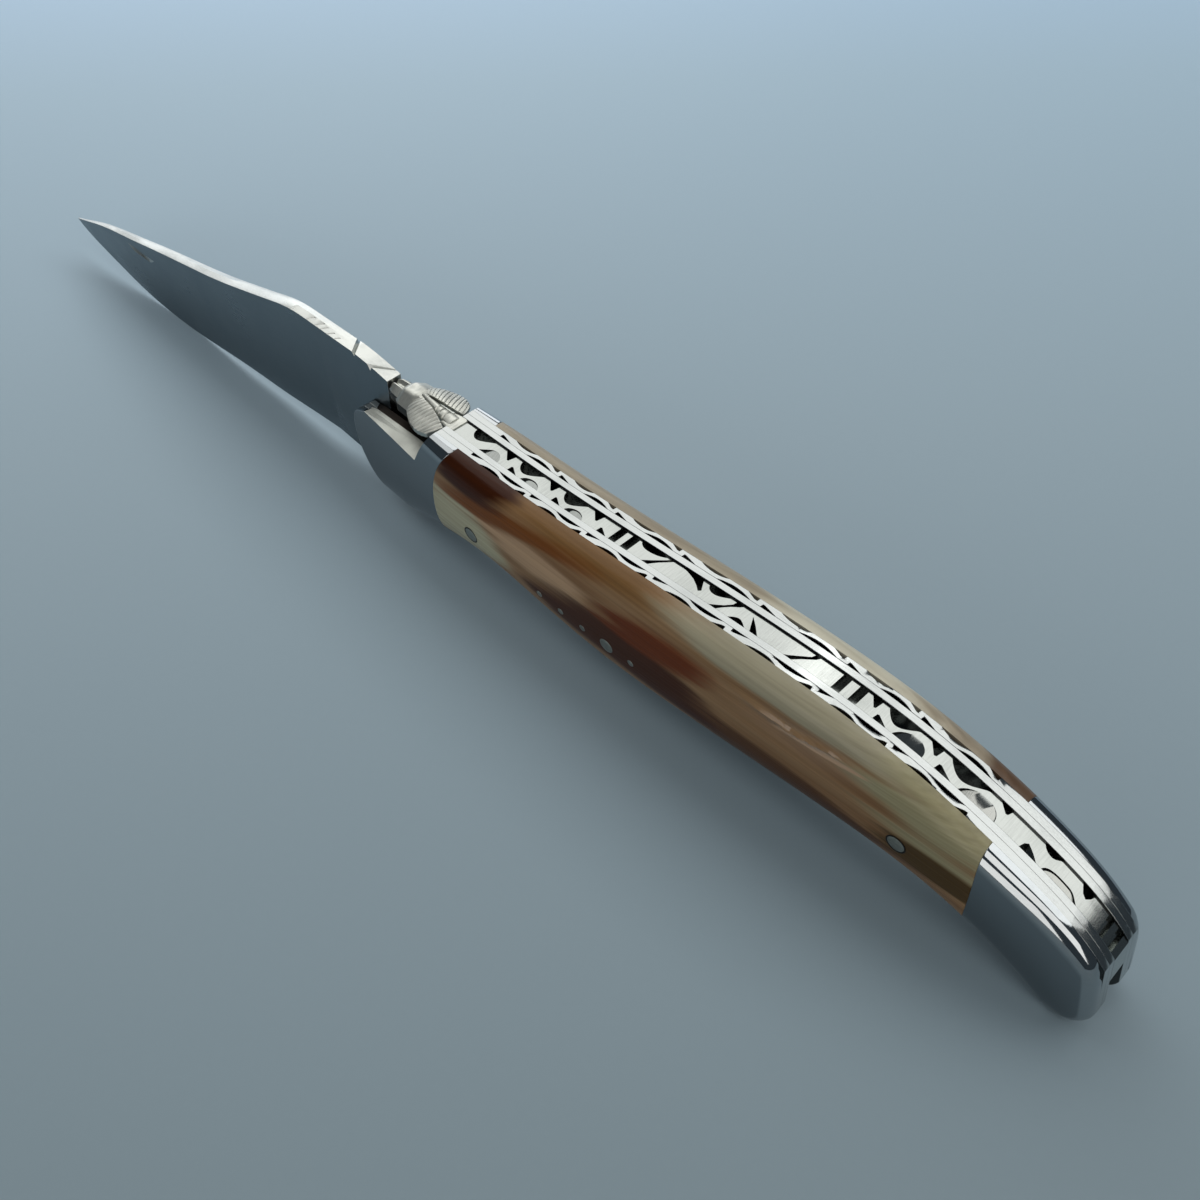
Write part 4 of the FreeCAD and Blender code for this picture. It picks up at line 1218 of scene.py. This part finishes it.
@dataclass
class Dresser:
    """Gives the frame's own solids their finish.

    Attributes:
        nodes: The frame's solids by name.
    """

    nodes: dict[str, Object]

    def recut(self, name: str, stem: str, body: str, across: float) -> None:
        """Show a solid scaled across the knife, in a piece of its own.

        Args:
            name: Which solid.
            stem: Name of the piece that takes its place.
            body: Body that it rides on.
            across: Scale across the knife; -1 exchanges left and right.
        """
        sheet = bmesh.new()
        sheet.from_mesh(self.nodes[name].data)
        bmesh.ops.scale(sheet, vec=(1.0, across, 1.0), verts=sheet.verts)
        if across < 0:
            bmesh.ops.reverse_faces(sheet, faces=sheet.faces)
        piece = placed(sheet, stem)
        stale = piece.data.attributes.get("custom_normal")
        if stale:
            piece.data.attributes.remove(stale)
        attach(piece, body)
        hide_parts(name)
        self.nodes[name] = piece

    def plate(self, name: str, material: Material, ease_mm: float = 0.05) -> None:
        """Dress a flat piece with eased edges.

        Args:
            name: Which solid.
            material: Its finish.
            ease_mm: Width of the eased edges.
        """
        piece = self.coat(name, material)
        self.modify(piece, "flats", "DECIMATE", decimate_type="DISSOLVE", angle_limit=math.radians(0.4))
        self.modify(piece, "eased edges", "BEVEL", width=ease_mm * MM, segments=2, limit_method="ANGLE",
                    angle_limit=math.radians(32), miter_outer="MITER_ARC")
        self.modify(piece, "even shading", "WEIGHTED_NORMAL", keep_sharp=True)

    def curved(self, name: str, material: Material, crease: float = 35.0) -> None:
        """Dress a rounded piece; edges from so many degrees on stay sharp."""
        self.modify(self.coat(name, material), "sharp edges", "EDGE_SPLIT", split_angle=math.radians(crease))

    @staticmethod
    def modify(piece: Object, name: str, kind: str, **settings: Any) -> None:
        """Add a modifier.

        Args:
            piece: Object that it changes.
            name: What it does.
            kind: Kind of modifier.
            settings: Its properties.
        """
        modifier = piece.modifiers.new(name, kind)
        for key, value in settings.items():
            setattr(modifier, key, value)

    def coat(self, name: str, material: Material) -> Object:
        """Set a solid's material and join its triangles.

        Args:
            name: Which solid.
            material: Its finish.

        Returns:
            The solid.
        """
        piece = self.nodes[name]
        piece.data.materials.clear()
        piece.data.materials.append(material)
        piece.data.polygons.foreach_set("use_smooth", [True] * len(piece.data.polygons))
        self.modify(piece, "joined", "WELD", merge_threshold=PLANE_MM * MM)
        LOG.info("%s: %s", name, material.name)
        return piece


# Marks of a real grit are a few hundredths of a millimetre wide; they are drawn coarser, so that they show
STEELS = {
    # Ground lengthwise: a soft grey along the back, and painted shade on the sides: faces that look sideways are a
    # dull blue-grey
    "blade": Steel("satin blade steel", "b4b7b4", "a4a8a6", Polish.SATIN, (14.0, 0.3, 0.12), 9.0, "6f7b82"),
    # Polished over the filing: white where it faces the light, and painted shade: the cuts' walls, which look
    # sideways, are nearly black
    "spring": Steel("filed spring steel", "9da19f", "8e9290", Polish.BRIGHT, (0.2, 3.0, 3.0), 9.0, "3c3e3e"),
    # Straight from the file: warm, dull and scratched across, so that the carving reads
    "bee": Steel("filed bee steel", "b2b4ae", "9a9c97", Polish.FILED, (0.15, 0.9, 0.9), 2.5),
    # Ground crosswise: an even pale grey without reflections
    "flat": Steel("ground bolster flat", "a9aca6", "9a9d98", Polish.FILED, (0.12, 4.0, 4.0), 4.0),
    # Bright edges with fine lengthwise scratches: white lines along the back, and painted shade, a darker grey, on
    # faces that look sideways
    "liner": Steel("liner steel", "a3a7a7", "969a9a", Polish.BRIGHT, (6.0, 0.12, 0.12), 9.0, "505353"),
    # Buffed to a mirror: sharp white bands over a dark image of the room, with faces that look sideways painted a
    # little darker as shade
    "bolster": Steel("polished bolster steel", "a4a9ac", "9a9fa2", Polish.MIRROR, (5.0, 1.0, 0.3), 9.0, "82888c"),
    # Hammered over: small dull dots that keep a broad glint
    "pin": Steel("peened pin steel", "a3a39a", "86867f", Polish.SATIN, (0.4, 0.4, 0.4)),
    # Blackened where no wheel reaches: the dark line round the rivets; also painted shade on the low walls under the
    # bee and over the blade's slot
    "seam": Steel("oxidised seam and painted shade", "2b2724", "1d1a18", Polish.SATIN, (0.3, 0.3, 0.3)),
}
HORNS = {
    # Pale far slab with a few brown clouds
    Hand.LEFT: Horn("left horn slab", "a6a08e", "8f8676", (
        Patch("bdbbab", (66.0, 20.0), (16.0, 5.0)), Patch("5c4a3c", (90.0, 18.5), (9.0, 3.0)),
        Patch("8d7455", (18.0, 12.5), (16.0, 5.0), 3.0), Patch("7a5636", (42.0, 11.5), (22.0, 4.4), 2.0),
        Patch("64401f", (34.0, 13.5), (15.0, 3.4), 5.0, 0.55), Patch("6b4a2c", (78.0, 11.5), (22.0, 4.2), -2.0))),
    # Photographed slab: straw, olive and red-brown stretches that fray into each other
    Hand.RIGHT: Horn("right horn slab", "8a7052", "785b3e", (
        Patch("a5a48c", (8.0, 10.5), (15.0, 6.0)), Patch("a88d70", (27.0, 15.0), (13.0, 4.0)),
        Patch("725636", (34.0, 20.8), (18.0, 2.8)), Patch("6c3e12", (23.0, 17.5), (20.0, 2.1), 6.0),
        Patch("341605", (12.5, 20.0), (12.0, 4.0)), Patch("4a2f18", (66.0, 8.4), (24.0, 3.4)),
        Patch("3c1c06", (41.0, 9.8), (20.0, 4.6)), Patch("602c08", (46.0, 15.4), (13.0, 3.2), 4.0),
        Patch("908c78", (72.0, 21.4), (34.0, 3.4)), Patch("8a866a", (86.0, 17.2), (15.0, 5.4)),
        # The narrow pale stretch along the welt, at 70.5 mm, is a painted highlight of its ridge
        Patch("463416", (86.0, 11.4), (11.0, 2.4), 2.0), Patch("b09274", (70.5, 17.0), (8.0, 0.6), 9.0),
    ), Patch("ffffff", (69.5, 16.8), (11.0, 2.4), 6.0)),
}


def main() -> None:
    """Build the classes in order and report each piece."""
    logging.basicConfig(level=logging.INFO, format="%(message)s")
    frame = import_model()
    dresser = Dresser(dict(frame["nodes"]))
    steel = {use: finish.build() for use, finish in STEELS.items()}
    horn = {side: finish.build() for side, finish in HORNS.items()}
    # The solids' file work and nail nick are the mirror image of the photographed ones
    dresser.recut("blade", "ground_blade", "blade", -1.0)
    dresser.recut("back_spring", "filed_spring", "handle", -1.0)
    # The pivot's ends lie hidden under the bolsters' polish
    dresser.recut("pivot_pin", "pivot_rod", "handle", 0.94)
    dresser.plate("blade", steel["blade"])
    dresser.curved("back_spring", steel["spring"])
    for name in ("pivot_pin", "spring_pin", "tail_pin", "cross_pins"):
        dresser.curved(name, steel["pin"])
    form = HandleForm()
    heads = PinHeads(form)
    front, rear = form.arc(form.front_joint), form.arc(form.rear_joint)
    # The bee's low walls take the dark seam finish: painted shade
    Bee().build(steel["bee"], steel["seam"])
    for side in Hand:
        dresser.plate("inner_liner_" + side.tag, steel["liner"])
        dresser.plate("outer_liner_" + side.tag, steel["liner"])
        for place in ("front", "centre", "rear"):
            dresser.curved("%s_rivet_%s" % (place, side.tag), steel["pin"])
        cap = FacetedSkin(form, form.front(), front, (0.14, 0.07))
        bolster = cap.build("front_cap", side, "front_bolster_" + side.tag, steel["bolster"], "bolster_steel")
        cap.dress_flat(bolster, side, steel["flat"])
        # The flat's inner edge over the slot takes the dark seam finish: painted shade
        cap.inner_flat(side, steel["flat"], steel["seam"])
        welt = Welt().lift if side is Hand.RIGHT else None
        slab = SideSkin(form, front, rear, (0.07, 0.07), (240, 110), welt)
        slab.build("horn_slab", side, "scale_" + side.tag, horn[side], "horn")
        butt = SideSkin(form, rear, form.butt(), (0.07, 1.40))
        butt.build("rear_cap", side, "rear_bolster_" + side.tag, steel["bolster"], "bolster_steel")
        heads.build(side, steel["pin"], steel["seam"])
    Studio().build()


if __name__ == "__main__":
    main()
